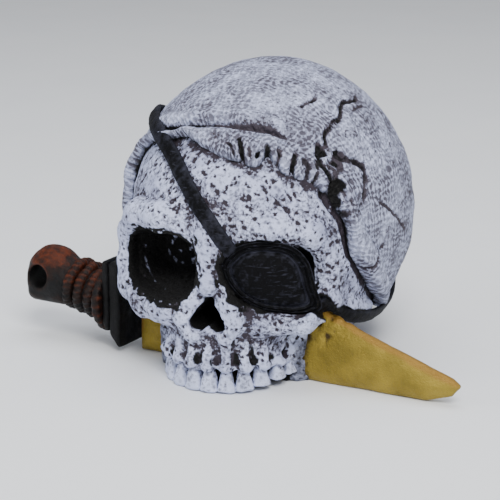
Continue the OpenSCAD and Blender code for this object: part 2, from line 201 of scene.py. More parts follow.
class Clay:
    """A block of modelling clay: negative inside, in mm, on a grid with its own spacing."""

    def __init__(self, xs, ys, zs):
        self.axes = [np.asarray(a, np.float32) for a in (xs, ys, zs)]
        self.f = np.full([len(a) for a in self.axes], 9.0, np.float32)

    def window(self, lo, hi):
        cut = tuple(
            slice(max(int(np.searchsorted(a, l)) - 1, 0), int(np.searchsorted(a, h)) + 1)
            for a, l, h in zip(self.axes, lo, hi))
        parts = [a[s] for a, s in zip(self.axes, cut)]
        return cut, np.meshgrid(*parts, indexing="ij", sparse=True)

    def add(self, shape, lo=(-99, -99, -99), hi=(99, 99, 99), k=1.0):
        cut, xyz = self.window(lo, hi)
        self.f[cut] = soft_min(self.f[cut], shape(*xyz), k)

    def cut(self, shape, lo=(-99, -99, -99), hi=(99, 99, 99), k=0.6):
        cut, xyz = self.window(lo, hi)
        self.f[cut] = soft_max(self.f[cut], -shape(*xyz), k)

    def add_chain(self, points, k=1.5, sides=(-1, 1)):
        """Bars from point to point, each (out from the middle plane, y, z, radius), on these sides."""
        for side in sides:
            line = [np.array((MID + side * p[0], p[1], p[2])) for p in points]
            for a, b, p, q in zip(line[:-1], line[1:], points[:-1], points[1:]):
                reach = max(p[3], q[3]) + k + 1.5
                self.add(rod(a, b, p[3], q[3]), np.minimum(a, b) - reach, np.maximum(a, b) + reach, k)

    def cut_line(self, line, r, reach):
        """A groove of radius r along a line of points, worked out as far as reach from it."""
        for a, b in zip(line[:-1], line[1:]):
            self.cut(rod(a, b, r, r), np.minimum(a, b) - reach, np.maximum(a, b) + reach, 0.8)

    def inside(self, p):
        """Whether each point in mm lies in the clay."""
        index = [np.clip(np.searchsorted(a, p[:, n]), 0, len(a) - 1) for n, a in enumerate(self.axes)]
        return self.f[tuple(index)] < 0

    def skin(self):
        """The surface as points in mm and four-sided faces that point outwards."""
        f = self.f
        inside = f < 0
        corners = [(i, j, k) for i in (0, 1) for j in (0, 1) for k in (0, 1)]
        shape = np.array(f.shape) - 1
        count = np.zeros(shape, np.uint8)
        for i, j, k in corners:
            count += inside[i:i + shape[0], j:j + shape[1], k:k + shape[2]]
        crossed = (count > 0) & (count < 8)
        cell = np.argwhere(crossed)
        number = np.full(shape, -1, np.int64)
        number[crossed] = np.arange(len(cell))
        values = np.stack([f[cell[:, 0] + i, cell[:, 1] + j, cell[:, 2] + k] for i, j, k in corners], 1)
        total = np.zeros((len(cell), 3))
        hits = np.zeros(len(cell))
        for a, ca in enumerate(corners):
            for b, cb in enumerate(corners):
                if sum(cb) != sum(ca) + 1 or any(q < p for p, q in zip(ca, cb)):
                    continue
                va, vb = values[:, a], values[:, b]
                hit = (va < 0) != (vb < 0)
                t = np.where(hit, va / np.where(hit, va - vb, 1), 0)
                step = np.array(cb) - np.array(ca)
                total += hit[:, None] * (np.array(ca) + t[:, None] * step)
                hits += hit
        local = total / hits[:, None]
        points = np.empty((len(cell), 3))
        for n in range(3):
            axis = self.axes[n]
            points[:, n] = axis[cell[:, n]] + local[:, n] * (axis[cell[:, n] + 1] - axis[cell[:, n]])
        faces = []
        for n in range(3):
            low = [slice(None)] * 3
            high = [slice(None)] * 3
            low[n], high[n] = slice(0, -1), slice(1, None)
            change = inside[tuple(low)] != inside[tuple(high)]
            edge = np.argwhere(change)
            m, o = (n + 1) % 3, (n + 2) % 3
            keep = (edge[:, m] > 0) & (edge[:, o] > 0) & (edge[:, m] < shape[m]) & (edge[:, o] < shape[o])
            edge = edge[keep]
            um, uo = np.eye(3, dtype=int)[m], np.eye(3, dtype=int)[o]
            ring = [edge - um - uo, edge - uo, edge, edge - um]
            quad = np.stack([number[tuple(r.T)] for r in ring], 1)
            turned = ~inside[tuple(edge.T)]
            quad[turned] = quad[turned][:, ::-1]
            faces.append(quad)
        return points, np.concatenate(faces)


# ---------------------------------------------------------------- meshes

def edges_of(faces):
    """Each face's sides, both ways round, for quads and triangles alike."""
    pairs = []
    for group in faces:
        group = np.asarray(group)
        for k in range(group.shape[1]):
            pairs.append(np.stack([group[:, k], group[:, (k + 1) % group.shape[1]]], 1))
    pairs = np.concatenate(pairs)
    return np.concatenate([pairs, pairs[:, ::-1]])


def neighbour_mean(values, pairs):
    n = len(values)
    count = np.maximum(np.bincount(pairs[:, 0], minlength=n), 1)
    cols = [np.bincount(pairs[:, 0], values[pairs[:, 1], c], n) / count for c in range(values.shape[1])]
    return np.stack(cols, 1)


def outward(points, faces):
    """Unit normals at the points."""
    total = np.zeros_like(points)
    for group in faces:
        group = np.asarray(group)
        a, b, c = points[group[:, 0]], points[group[:, 1]], points[group[:, 2]]
        d = points[group[:, 3]] if group.shape[1] == 4 else a
        normal = np.cross(c - a, d - b) if group.shape[1] == 4 else np.cross(b - a, c - a)
        for k in range(group.shape[1]):
            for n in range(3):
                total[:, n] += np.bincount(group[:, k], normal[:, n], len(points))
    return total / np.maximum(np.linalg.norm(total, axis=1, keepdims=True), 1e-9)


def hollowness(points, faces, rounds=8):
    """How far in mm each point lies under the smoothed surface: recesses are positive."""
    pairs = edges_of(faces)
    soft = points.copy()
    for _ in range(rounds):
        soft = neighbour_mean(soft, pairs)
    return ((soft - points) * outward(points, faces)).sum(1)


def raised_and_sunk(points, faces, rounds=6):
    """The same for any size of piece: from about -1 on its ridges to 1 in its grooves."""
    depth = hollowness(points, faces, rounds)
    return np.clip(depth / max(np.percentile(np.abs(depth), 92), 0.02), -1.5, 1.5)


def make(name, points, faces, material, body="ornament", replaces=(), marks=None, cloth=None):
    """A finished piece: its mesh in metres, its paint marks, its finish and the body it rides on."""
    mesh = bpy.data.meshes.new(name)
    rows = [row for group in faces for row in np.asarray(group).tolist()]
    mesh.from_pydata((points * MM).tolist(), [], rows)
    mesh.polygons.foreach_set("use_smooth", [True] * len(mesh.polygons))
    for mark, values in (marks or {}).items():
        layer = mesh.attributes.new(mark, "FLOAT", "POINT")
        layer.data.foreach_set("value", np.asarray(values, np.float32))
    if cloth is not None:
        layer = mesh.uv_layers.new(name="cloth")
        loops = np.empty(len(mesh.loops), np.int32)
        mesh.loops.foreach_get("vertex_index", loops)
        layer.data.foreach_set("uv", cloth[loops].astype(np.float32).ravel())
    mesh.materials.append(material)
    mesh.update()
    piece = bpy.data.objects.new(name, mesh)
    bpy.context.collection.objects.link(piece)
    finish_piece(piece, body, replaces)


def finish_piece(piece, body, replaces):
    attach(piece, body)
    if replaces:
        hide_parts(*replaces)


def loft(rings, wrap=False):
    """Faces that join rings of points (rings, points, 3): round in a loop, or with closed ends."""
    rows, n = rings.shape[:2]
    i = np.arange(rows if wrap else rows - 1)[:, None]
    j = np.arange(n)[None]
    k = (j + 1) % n
    up = (i + 1) % rows
    quads = np.stack([i * n + j, i * n + k, up * n + k, up * n + j], -1).reshape(-1, 4)
    points = rings.reshape(-1, 3)
    if wrap:
        return points, [quads]
    ends = np.stack([rings[0].mean(0), rings[-1].mean(0)])
    points = np.concatenate([points, ends])
    a, b = rows * n, rows * n + 1
    j, k = j[0], k[0]
    first = np.stack([np.full_like(j, a), k, j], 1)
    last = np.stack([np.full_like(j, b), (rows - 1) * n + j, (rows - 1) * n + k], 1)
    return points, [quads, np.concatenate([first, last])]


def joined(parts):
    """Several meshes with the same kinds of faces as one."""
    points, groups, total = [], [], 0
    for p, faces in parts:
        points.append(p)
        groups.append([group + total for group in faces])
        total += len(p)
    return np.concatenate(points), [np.concatenate(kind) for kind in zip(*groups)]


# ---------------------------------------------------------------- places on the dome

def around(az, el):
    az, el = np.radians(az), np.radians(el)
    return np.stack([np.cos(el) * np.sin(az), -np.cos(el) * np.cos(az), np.sin(el)], -1)


def on_dome(az, el, lift=0.0):
    """A point over the dome: az from the face towards the skull's left, el up, lift over the scarf."""
    lift = np.asarray(lift, float)
    return DOME + around(az, el) * (CLOTH + lift[..., None])


def off_dome(az, el):
    n = around(az, el) / CLOTH
    return n / np.linalg.norm(n, axis=-1, keepdims=True)


def between(before, a, b, after, f):
    """A share f of the way from a to b on a curve that heeds the points on either side."""
    return 0.5 * (2 * a + (b - before) * f + (2 * before - 5 * a + 4 * b - after) * f ** 2
                  + (3 * a - before - 3 * b + after) * f ** 3)


def smooth_line(points, count):
    """A smooth curve with this many points through given points."""
    p = np.asarray(points, float)
    t = np.linspace(0, len(p) - 1, count)
    i = np.clip(t.astype(int), 0, len(p) - 2)
    f = (t - i)[:, None]
    before, after = p[np.maximum(i - 1, 0)], p[np.minimum(i + 2, len(p) - 1)]
    return between(before, p[i], p[i + 1], after, f)


def closed_line(points, count):
    """A smooth closed curve through given points."""
    p = np.asarray(points, float)
    n = len(p)
    t = np.linspace(0, n, count, endpoint=False)
    i = t.astype(int)
    f = (t - i)[:, None]
    return between(p[(i - 1) % n], p[i % n], p[(i + 1) % n], p[(i + 2) % n], f)


def from_line(p, line):
    """Distance in mm from each point to a line of points."""
    best = np.full(len(p), 1e9)
    for a, b in zip(line[:-1], line[1:]):
        d = b - a
        t = np.clip(((p - a) @ d) / (d @ d), 0, 1)
        best = np.minimum(best, np.linalg.norm(p - a - t[:, None] * d, axis=1))
    return best


def trail(spots, lift=0.0, count=24):
    """A smooth line over the dome through (az, el) spots."""
    s = smooth_line(spots, count)
    return on_dome(s[:, 0], s[:, 1], lift)


def on_arch(t, inset=0.0):
    """A place on the row of teeth: t is 0 in front and 90 at the skull's left."""
    t = np.radians(t)
    return (MID + (ARCH_W - inset) * np.sin(t), TEETH_FRONT + ARCH_D - (ARCH_D - inset) * np.cos(t))


def in_dagger(p):
    """From the dagger's own axes (along, across, up) to the frame."""
    x, y, z = np.moveaxis(np.asarray(p, float), -1, 0)
    c, s = math.cos(DAGGER_TURN), math.sin(DAGGER_TURN)
    return np.stack([x * c - y * s, x * s + y * c + DAGGER_Y, z], -1)


# ---------------------------------------------------------------- materials

def linear(code):
    """A hex colour as the shader's linear values."""
    out = []
    for k in (0, 2, 4):
        v = int(code[k:k + 2], 16) / 255
        out.append(v / 12.92 if v <= 0.04045 else ((v + 0.055) / 1.055) ** 2.4)
    return (*out, 1.0)


def put(tree, kind, links=None, out=0, **settings):
    """Adds a node with its settings; links gives each socket a value or another node's output."""
    node = tree.nodes.new(kind)
    for key, value in settings.items():
        setattr(node, key, value)
    for socket, value in (links or {}).items():
        if isinstance(value, bpy.types.NodeSocket):
            tree.links.new(value, node.inputs[socket])
        else:
            node.inputs[socket].default_value = value
    return node.outputs[out] if len(node.outputs) else node


def per_mm(size):
    """Texture scale in metre coordinates for features of this size in mm."""
    return 1000.0 / size


def start_material(name):
    mat = bpy.data.materials.new(name)
    mat.use_nodes = True
    tree = mat.node_tree
    tree.nodes.clear()
    return mat, tree, put(tree, "ShaderNodeTexCoord", out="Object")


def finish_material(tree, color, roughness, height, depth, **shader):
    """The surface shader, with bumps as deep as depth in mm."""
    bump = put(tree, "ShaderNodeBump", {"Height": height, "Strength": 1.0, "Distance": depth * MM})
    links = {"Base Color": color, "Roughness": roughness, "Normal": bump, **shader}
    put(tree, "ShaderNodeOutputMaterial", {"Surface": put(tree, "ShaderNodeBsdfPrincipled", links)})


def mark(tree, name):
    return put(tree, "ShaderNodeAttribute", out="Fac", attribute_name=name)


def resin_white(name, woven=False, light="d3dafa", shade="b0b6d6", wash="352e37", deep="030202"):
    """Cast resin washed dark brown-violet, then dry-brushed off-white: raised parts are chalky and
    every pit and crease keeps the wash, with a broken edge where the brush skipped. The deep mark
    turns the paint near black as painted shade in holes, gaps, creases and undersides."""
    mat, t, where = start_material(name)
    grain = put(t, "ShaderNodeTexNoise", {"Vector": where, "Scale": per_mm(1.9), "Detail": 5.0,
                                          "Roughness": 0.7})
    fine = put(t, "ShaderNodeTexNoise", {"Vector": where, "Scale": per_mm(0.75), "Detail": 2.0,
                                         "Roughness": 0.6})
    patchy = put(t, "ShaderNodeTexNoise", {"Vector": where, "Scale": per_mm(10), "Detail": 3.0})
    bent = put(t, "ShaderNodeTexNoise", {"Vector": where, "Scale": per_mm(1.2)}, "Color")
    bent = put(t, "ShaderNodeVectorMath", {0: bent, 1: (0.0008,) * 3, 2: where}, operation="MULTIPLY_ADD")
    cells = {"Vector": bent, "Scale": per_mm(1.5), "Randomness": 1.0}
    middle = put(t, "ShaderNodeTexVoronoi", cells, "Distance")
    number = put(t, "ShaderNodeSeparateColor", {0: put(t, "ShaderNodeTexVoronoi", cells, "Color")})
    often = put(t, "ShaderNodeMath", {0: mark(t, "pitted"), 1: 0.4, 2: number}, operation="MULTIPLY_ADD")
    chosen = put(t, "ShaderNodeMapRange", {"Value": often, "From Min": 0.58, "From Max": 0.8, "To Max": 0.66})
    pit = put(t, "ShaderNodeMapRange", {"Value": middle, "From Min": 0.5, "From Max": 0.14})
    pit = put(t, "ShaderNodeMath", {0: pit, 1: chosen}, operation="MULTIPLY")
    missed = put(t, "ShaderNodeMath", {0: grain, 1: 1.5, 2: mark(t, "wash")}, operation="MULTIPLY_ADD")
    missed = put(t, "ShaderNodeMath", {0: fine, 1: 1.6, 2: missed}, operation="MULTIPLY_ADD")
    missed = put(t, "ShaderNodeMapRange", {"Value": missed, "From Min": 1.5, "From Max": 2.05})
    missed = put(t, "ShaderNodeMath", {0: missed, 1: pit}, operation="MAXIMUM")
    height = put(t, "ShaderNodeMath", {0: pit, 1: -0.8, 2: grain}, operation="MULTIPLY_ADD")
    height = put(t, "ShaderNodeMath", {0: fine, 1: 0.8, 2: height}, operation="MULTIPLY_ADD")
    if woven:
        threads = weave(t)
        gap = put(t, "ShaderNodeMath", {0: grain, 1: -1.3, 2: threads}, operation="MULTIPLY_ADD")
        gap = put(t, "ShaderNodeMapRange", {"Value": gap, "From Min": 0.02, "From Max": -0.3, "To Max": 0.9})
        open_part = put(t, "ShaderNodeMapRange", {"Value": patchy, "From Min": 0.38, "From Max": 0.58,
                                                  "To Min": 0.4, "To Max": 1.0})
        gap = put(t, "ShaderNodeMath", {0: gap, 1: open_part}, operation="MULTIPLY")
        missed = put(t, "ShaderNodeMath", {0: missed, 1: gap}, operation="MAXIMUM")
        height = put(t, "ShaderNodeMath", {0: threads, 1: 0.9, 2: height}, operation="MULTIPLY_ADD")
    tone = put(t, "ShaderNodeMapRange", {"Value": patchy, "From Min": 0.35, "From Max": 0.68})
    paint = put(t, "ShaderNodeMix", {0: tone, 6: linear(light), 7: linear(shade)}, 2, data_type="RGBA")
    paint = put(t, "ShaderNodeMix", {0: missed, 6: paint, 7: linear(wash)}, 2, data_type="RGBA")
    # painted shade: near black where the deep mark is high
    black = put(t, "ShaderNodeMath", {0: grain, 1: 0.7, 2: mark(t, "deep")}, operation="MULTIPLY_ADD")
    black = put(t, "ShaderNodeMapRange", {"Value": black, "From Min": 0.6, "From Max": 1.05})
    paint = put(t, "ShaderNodeMix", {0: black, 6: paint, 7: linear(deep)}, 2, data_type="RGBA")
    gloss = put(t, "ShaderNodeMapRange", {"Value": missed, "To Min": 0.86, "To Max": 0.66})
    finish_material(t, paint, gloss, height, 0.7, **{"IOR": 1.5, "Specular IOR Level": 0.3})
    return mat


def weave(tree):
    """Two sets of threads, drawn about twice as coarse as real gauze so that they show."""
    place = put(tree, "ShaderNodeUVMap", uv_map="cloth")
    slip = put(tree, "ShaderNodeTexNoise", {"Vector": place, "Scale": 160.0, "Detail": 3.0}, "Color")
    place = put(tree, "ShaderNodeVectorMath", {0: slip, 1: (0.007, 0.007, 0.0), 2: place},
                operation="MULTIPLY_ADD")
    threads = []
    for side, spacing in (("X", 1.9), ("Y", 1.6)):
        along = put(tree, "ShaderNodeSeparateXYZ", {0: place}, side)
        turn = put(tree, "ShaderNodeMath", {0: along, 1: math.tau * per_mm(spacing)}, operation="MULTIPLY")
        wave = put(tree, "ShaderNodeMath", {0: turn}, operation="SINE")
        threads.append(put(tree, "ShaderNodeMath", {0: wave, 1: 0.5, 2: 0.5}, operation="MULTIPLY_ADD"))
    both = put(tree, "ShaderNodeMath", {0: threads[0], 1: threads[1]}, operation="ADD")
    return put(tree, "ShaderNodeMath", {0: both, 1: 0.5}, operation="MULTIPLY")


def resin_black(name, base="030305", rub="41424f"):
    """Cast resin painted black like old leather: a satin black with grey rubbed on to the raised
    edges and thin slanting scratches."""
    mat, t, where = start_material(name)
    grain = put(t, "ShaderNodeTexNoise", {"Vector": where, "Scale": per_mm(1.4), "Detail": 5.0,
                                          "Roughness": 0.7})
    slanted = put(t, "ShaderNodeMapping", {"Vector": where, "Rotation": (0.3, 0.9, 0.3),
                                           "Scale": (1.0, 1.0, 6.0)})
    scratch = put(t, "ShaderNodeTexNoise", {"Vector": slanted, "Scale": per_mm(3.2), "Detail": 3.0})
    line = put(t, "ShaderNodeMapRange", {"Value": scratch, "From Min": 0.61, "From Max": 0.70, "To Max": 0.4})
    raised = put(t, "ShaderNodeMath", {0: mark(t, "hollow"), 1: -0.32, 2: grain}, operation="MULTIPLY_ADD")
    worn = put(t, "ShaderNodeMapRange", {"Value": raised, "From Min": 0.55, "From Max": 1.0, "To Max": 0.6})
    worn = put(t, "ShaderNodeMath", {0: worn, 1: line}, operation="MAXIMUM")
    paint = put(t, "ShaderNodeMix", {0: worn, 6: linear(base), 7: linear(rub)}, 2, data_type="RGBA")
    gloss = put(t, "ShaderNodeMapRange", {"Value": grain, "From Min": 0.3, "From Max": 0.7,
                                          "To Min": 0.5, "To Max": 0.75})
    finish_material(t, paint, gloss, grain, 0.35, **{"IOR": 1.5, "Specular IOR Level": 0.1})
    return mat


def gold_paint():
    """Resin brushed with metallic gold paint: olive gold on the flat, orange gold on the rubbed
    edges, brown in the hollows and as painted shade where the blade meets the jaw and guard, with the
    soft glitter of fine flakes."""
    mat, t, where = start_material("gold_paint")
    flakes = put(t, "ShaderNodeTexNoise", {"Vector": where, "Scale": per_mm(0.7), "Detail": 3.0,
                                           "Roughness": 0.7})
    patchy = put(t, "ShaderNodeTexNoise", {"Vector": where, "Scale": per_mm(7), "Detail": 4.0})
    tone = put(t, "ShaderNodeMapRange", {"Value": patchy, "From Min": 0.35, "From Max": 0.65})
    paint = put(t, "ShaderNodeMix", {0: tone, 6: linear("a08930"), 7: linear("7f6c1f")}, 2, data_type="RGBA")
    paint = put(t, "ShaderNodeMix", {0: mark(t, "edge"), 6: paint, 7: linear("97732d")}, 2, data_type="RGBA")
    low = put(t, "ShaderNodeMath", {0: flakes, 1: 0.8, 2: mark(t, "wash")}, operation="MULTIPLY_ADD")
    low = put(t, "ShaderNodeMapRange", {"Value": low, "From Min": 0.65, "From Max": 1.3})
    paint = put(t, "ShaderNodeMix", {0: low, 6: paint, 7: linear("3d2d0b")}, 2, data_type="RGBA")
    height = put(t, "ShaderNodeMath", {0: patchy, 1: 1.5, 2: flakes}, operation="MULTIPLY_ADD")
    gloss = put(t, "ShaderNodeMapRange", {"Value": flakes, "From Min": 0.3, "From Max": 0.7,
                                          "To Min": 0.38, "To Max": 0.55})
    finish_material(t, paint, gloss, height, 0.5, Metallic=0.5)
    return mat


def handle_paint(name, base="030202", mid="1a0a04", rub="64290b"):
    """Resin painted near black, then rubbed with copper brown that catches on the raised parts."""
    mat, t, where = start_material(name)
    grain = put(t, "ShaderNodeTexNoise", {"Vector": where, "Scale": per_mm(2.4), "Detail": 5.0,
                                          "Roughness": 0.8})
    raised = put(t, "ShaderNodeMath", {0: mark(t, "hollow"), 1: -0.35, 2: mark(t, "rub")},
                 operation="MULTIPLY_ADD")
    raised = put(t, "ShaderNodeMath", {0: grain, 1: 1.6, 2: raised}, operation="MULTIPLY_ADD")
    some = put(t, "ShaderNodeMapRange", {"Value": raised, "From Min": 0.9, "From Max": 1.3})
    most = put(t, "ShaderNodeMapRange", {"Value": raised, "From Min": 1.42, "From Max": 2.15})
    paint = put(t, "ShaderNodeMix", {0: some, 6: linear(base), 7: linear(mid)}, 2, data_type="RGBA")
    paint = put(t, "ShaderNodeMix", {0: most, 6: paint, 7: linear(rub)}, 2, data_type="RGBA")
    gloss = put(t, "ShaderNodeMapRange", {"Value": grain, "From Min": 0.3, "From Max": 0.7,
                                          "To Min": 0.36, "To Max": 0.58})
    finish_material(t, paint, gloss, grain, 0.6, **{"IOR": 1.5, "Specular IOR Level": 0.2})
    return mat


def moulded(name, color, spot, gloss, grit, depth, **shader):
    """A moulded piece: its colour, darker mottling, and the fine skin that the mould leaves."""
    mat, t, where = start_material(name)
    grain = put(t, "ShaderNodeTexNoise", {"Vector": where, "Scale": per_mm(grit), "Detail": 4.0})
    tone = put(t, "ShaderNodeMapRange", {"Value": grain, "From Min": 0.4, "From Max": 0.7})
    paint = put(t, "ShaderNodeMix", {0: tone, 6: linear(color), 7: linear(spot)}, 2, data_type="RGBA")
    shine = put(t, "ShaderNodeMapRange", {"Value": grain, "To Min": gloss, "To Max": gloss + 0.15})
    finish_material(t, paint, shine, grain, depth, **shader)
    return mat


def add_floor():
    mat, t, where = start_material("floor")
    speck = put(t, "ShaderNodeTexNoise", {"Vector": where, "Scale": per_mm(40)})
    paint = put(t, "ShaderNodeMix", {0: speck, 6: linear("f4f5f6"), 7: linear("eef0f2")}, 2, data_type="RGBA")
    finish_material(t, paint, 0.9, speck, 0.02)
    mesh = bpy.data.meshes.new("floor")
    far = 1.5
    mesh.from_pydata([(-far, -far, 0), (far, -far, 0), (far, far, 0), (-far, far, 0)], [], [(0, 1, 2, 3)])
    mesh.materials.append(mat)
    floor = bpy.data.objects.new("floor", mesh)
    bpy.context.collection.objects.link(floor)


# ---------------------------------------------------------------- the skull

SOCKET = (15.5, 34.1)                        # middle of an eye socket: out from the middle plane, up
OPEN_EYE = (-1, 12.3, 8.8)                   # side, half width and half height of the open socket
COVERED_EYE = (1, 9.6, 7.6)                  # the same for the socket under the patch
HOLLOW = ((MID, 4.0, 38.0), (33.0, 30.0, 34.0))
STRAP_ROUTE = [(9.5, -3, -1), (2, 8, -1.3), (-5, 14, -1.4), (-14, 22, -1.4), (-26, 30, -1.2),
               (-42, 36.5, 1.3), (-58, 39, 1.3), (-74, 39, 1.3), (-95, 34, 0.1), (-120, 22, 0.1),
               (-145, 8, 0.1), (-165, -3, 0.1)]
LOW_ROUTE = [(42, -20.5, 1.4), (48, -25, 0.4), (56, -30, 0.2), (68, -34, 0.8), (82, -36, 1.3),
             (98, -36, 1.3), (118, -34, 1.3), (146, -26, 1.3)]
PATCH_EDGE = [(5.4, 35.9), (7.3, 39), (10.8, 41.8), (16.6, 42.9), (23.4, 41.7), (27.4, 37.2), (28.9, 29.8),
              (29.5, 23.2), (25.4, 21.6), (21, 22.4), (15.9, 23.5), (10.7, 26.8), (6.9, 31.3)]
GAPS = (-70, -55, -39, -23, -7.5, 7.5, 23, 37, 52, 67)    # places between the teeth


def steps(*stops):
    """Grid places: a start, then pairs of a spacing and the place it runs to."""
    out = [np.array([stops[0]])]
    for spacing, end in zip(stops[1::2], stops[2::2]):
        start = out[-1][-1]
        n = max(int(round((end - start) / spacing)), 1)
        out.append(np.linspace(start, end, n + 1)[1:])
    return np.concatenate(out)


def rim_y(x):
    """How far forward the bone round the eyes comes, from the nose out to the temples."""
    return -48.5 + 0.021 * (x - MID) ** 2


def socket_hole(side, w, h):
    """An eye socket: rounded square in front, narrower and nearer the middle further in."""
    def field(x, y, z):
        deep = np.clip((y - rim_y(x)) / 18, 0, 1)
        size = 1 - 0.45 * deep
        dx = (x - MID - side * (SOCKET[0] + 0.07 * (w - 5) - 4 * deep)) / (w * size)
        dz = (z - SOCKET[1] + 0.05 * (x - MID) * side) / (h * size)
        q = (np.abs(dx) ** 3 + np.abs(dz) ** 3) ** (1 / 3)
        return np.maximum((q - 1) * h, y + 27)
    return field


def nose_hole(x, y, z):
    """Two round lobes that lean together at the top, with a spine left between them."""
    a, dz = np.abs(x - MID), z
    t = np.clip((dz - 20.1) / 5.6, 0, 1)
    wide = 2.75 - 1.65 * t
    cx = 2.75 * (1 - t) ** 0.8
    d = np.sqrt((a - cx) ** 2 + (dz - 20.1 - 5.6 * t) ** 2) - wide
    return np.maximum(d, y + 34)


def upper_jaw(x, y, z):
    q = np.sqrt(((x - MID) / 19.4) ** 2 + (np.minimum(y + 27, 0) / 22.6) ** 2)
    lip = 7.0 + 0.45 * np.sin((x - MID) * 0.62 + 0.8) + 0.35 * np.sin(x * 1.5)
    swell = 0.7 * np.exp(-((z - 8.6) / 1.4) ** 2)
    return all_of((q - 1) * 19 - swell, lip - z, z - 25, y + 14)


def jaw_core(x, y, z):
    q = np.sqrt(((x - MID) / 16.2) ** 2 + (np.minimum(y + 27, 0) / 19.6) ** 2)
    return all_of((q - 1) * 16, 1.2 - z, z - 9, y + 16)


def neck(x, y, z):
    t = np.clip(z / 22, 0, 1)
    wide, long, mid_y = 21 + 7 * t, 25 + 9 * t, 6 - 4 * t
    q = np.sqrt(((x - MID) / wide) ** 2 + ((y - mid_y) / long) ** 2)
    return np.maximum((q - 1) * wide, z - 24)


def over_hollow(p):
    """Less than 1 in the hollow inside the skull, 1 on its wall and more outside it."""
    return ((p - HOLLOW[0]) ** 2 / np.array(HOLLOW[1]) ** 2).sum(1)


def strap_bed():
    """The line of the groove that the lower strap's front end lies in."""
    return np.array([on_dome(az, el, lift + 2.4) for az, el, lift in LOW_ROUTE[:4]])


def root_slot(n):
    """A slit between two roots: wide over the teeth, narrow and leaning at its top."""
    x, y = on_arch(GAPS[n], 0.8)
    top_x, top_y = on_arch(GAPS[n] + 2.6 * math.sin(5.1 * n), 0.7)
    return rod((x, y - 0.5, 9.4), (top_x, top_y, 14.2 + 1.4 * math.sin(2.3 * n)), 1.35, 0.45)


def sculpt_skull():
    clay = Clay(steps(-42, 1.2, -33, 0.55, 37, 1.2, 46), steps(-54, 0.5, -24, 0.9, -10, 1.5, 47),
                steps(-1, 0.5, 52, 0.9, 64, 1.5, 84))
    clay.add(egg(DOME, BONE))
    clay.add(neck, k=3)
    clay.add(egg((MID, -18.5, 44), (31, 28, 24)), k=5)
    # brow, the outer rim of the eye, and the cheekbone
    clay.add_chain([(4, -43.5, 44.0, 4.4), (15, -44.5, 46.6, 3.9), (25, -38.5, 45.4, 3.7),
                    (29.9, -32.5, 39, 3.4), (30.2, -32.8, 31, 3.2), (28.8, -34.5, 24.6, 3.8),
                    (22, -39, 20.4, 4.2), (13, -43.5, 20.5, 4.6)],
                   2.5, (-1,))
    clay.add_chain([(4, -43.2, 44.0, 4.2), (15, -43, 45.5, 3.6), (24, -36.3, 44, 2.8),
                    (27.5, -31, 38, 2.4), (28, -31, 31, 2.4), (27.2, -33.5, 24.6, 3.4),
                    (22, -38.4, 19.8, 3.8), (13, -43.5, 19.8, 4.2)],
                   3.5, (1,))
    clay.add_chain([(28, -33, 23, 3.8), (29.5, -23, 19.5, 3.2), (31, -10, 17.5, 3.0)], 2.5)
    # between the eyes, the bridge and the sides of the nose
    clay.add_chain([(0, -44.5, 45, 5), (0, -46.2, 38, 3.8), (0, -48.6, 30.5, 2.6)], 2.5)
    clay.add_chain([(3.6, -46.5, 36, 2.4), (5.6, -48, 26, 2.6), (7.2, -47.8, 20, 2.7),
                    (5, -49, 16.2, 2.2)], 2.0)
    clay.add(egg((MID, -35, 25), (17, 12.5, 12)), k=3)
    clay.add(upper_jaw, (-20, -54, 4), (24, -10, 27), 2.0)
    clay.add(jaw_core, (-20, -54, 0), (24, -10, 10), 0.5)
    clay.add_chain([(17.5, -29, 15, 5), (17.5, -27.5, 0, 5)], 2)
    # roots over the teeth, with slots between them
    for t in (-62, -47, -31, -15, 0, 15, 30, 45, 60):
        x, y = on_arch(t, 0.7)
        root = rod((x, y + 0.4, 8), (MID + (x - MID) * 0.96, y + 0.8, 13.5), 1.8, 0.8)
        clay.add(root, (-22, -54, 3), (26, -20, 18), 1.2)
    for n in range(len(GAPS)):
        clay.cut(root_slot(n), (-24, -54, 4), (28, -20, 18), 0.5)
    # hollow under each cheekbone, and the temples behind the rims
    clay.cut(both_sides(egg((22, -40.5, 12.0), (6.5, 5.5, 4.6))), (-30, -52, 5), (34, -30, 19), 1.5)
    clay.cut(egg((MID - 36.5, -23, 33), (5, 9, 11)), (-42, -38, 18), (0, -10, 48), 3.0)
    clay.add(egg((MID + 27, -22, 33), (5.6, 10.5, 14)), k=3)
    valley = trail(HEM_SIDE, -0.9, 30)
    clay.cut_line(valley, 1.7, 4)
    clay.cut_line(strap_bed(), 2.9, 5)
    clay.cut(both_sides(egg((19.5, -49.5, 26.3), (4, 3, 2.4))), (-24, -54, 20), (28, -44, 31), 1.5)
    clay.cut(lambda x, y, z: all_of(outline_distance(x + 0 * z, z + 0 * x, PATCH_EDGE) - 0.1,
                                    y - patch_y(x, z) - 0.9, -60 - y), (2, -54, 18), (33, -28, 47), 0.7)
    clay.cut(socket_hole(*OPEN_EYE), (-34, -54, 20), (4, -24, 48), 1.3)
    clay.cut(socket_hole(*COVERED_EYE), (0, -54, 20), (38, -24, 48), 1.3)
    clay.cut(nose_hole, (-6, -54, 14), (10, -32, 30), 0.5)
    # the hollow inside, the seat of the air inlet and the flat bottom
    clay.cut(egg(*HOLLOW), k=1.0)
    clay.cut(lambda x, y, z: np.maximum(np.hypot(x - MID, z - STEM_Z) - 10.8, 20 - y),
             (-12, 18, -1), (16, 47, 28), 0.4)
    clay.cut(lambda x, y, z: z - 0.02, k=0.2)
    return clay


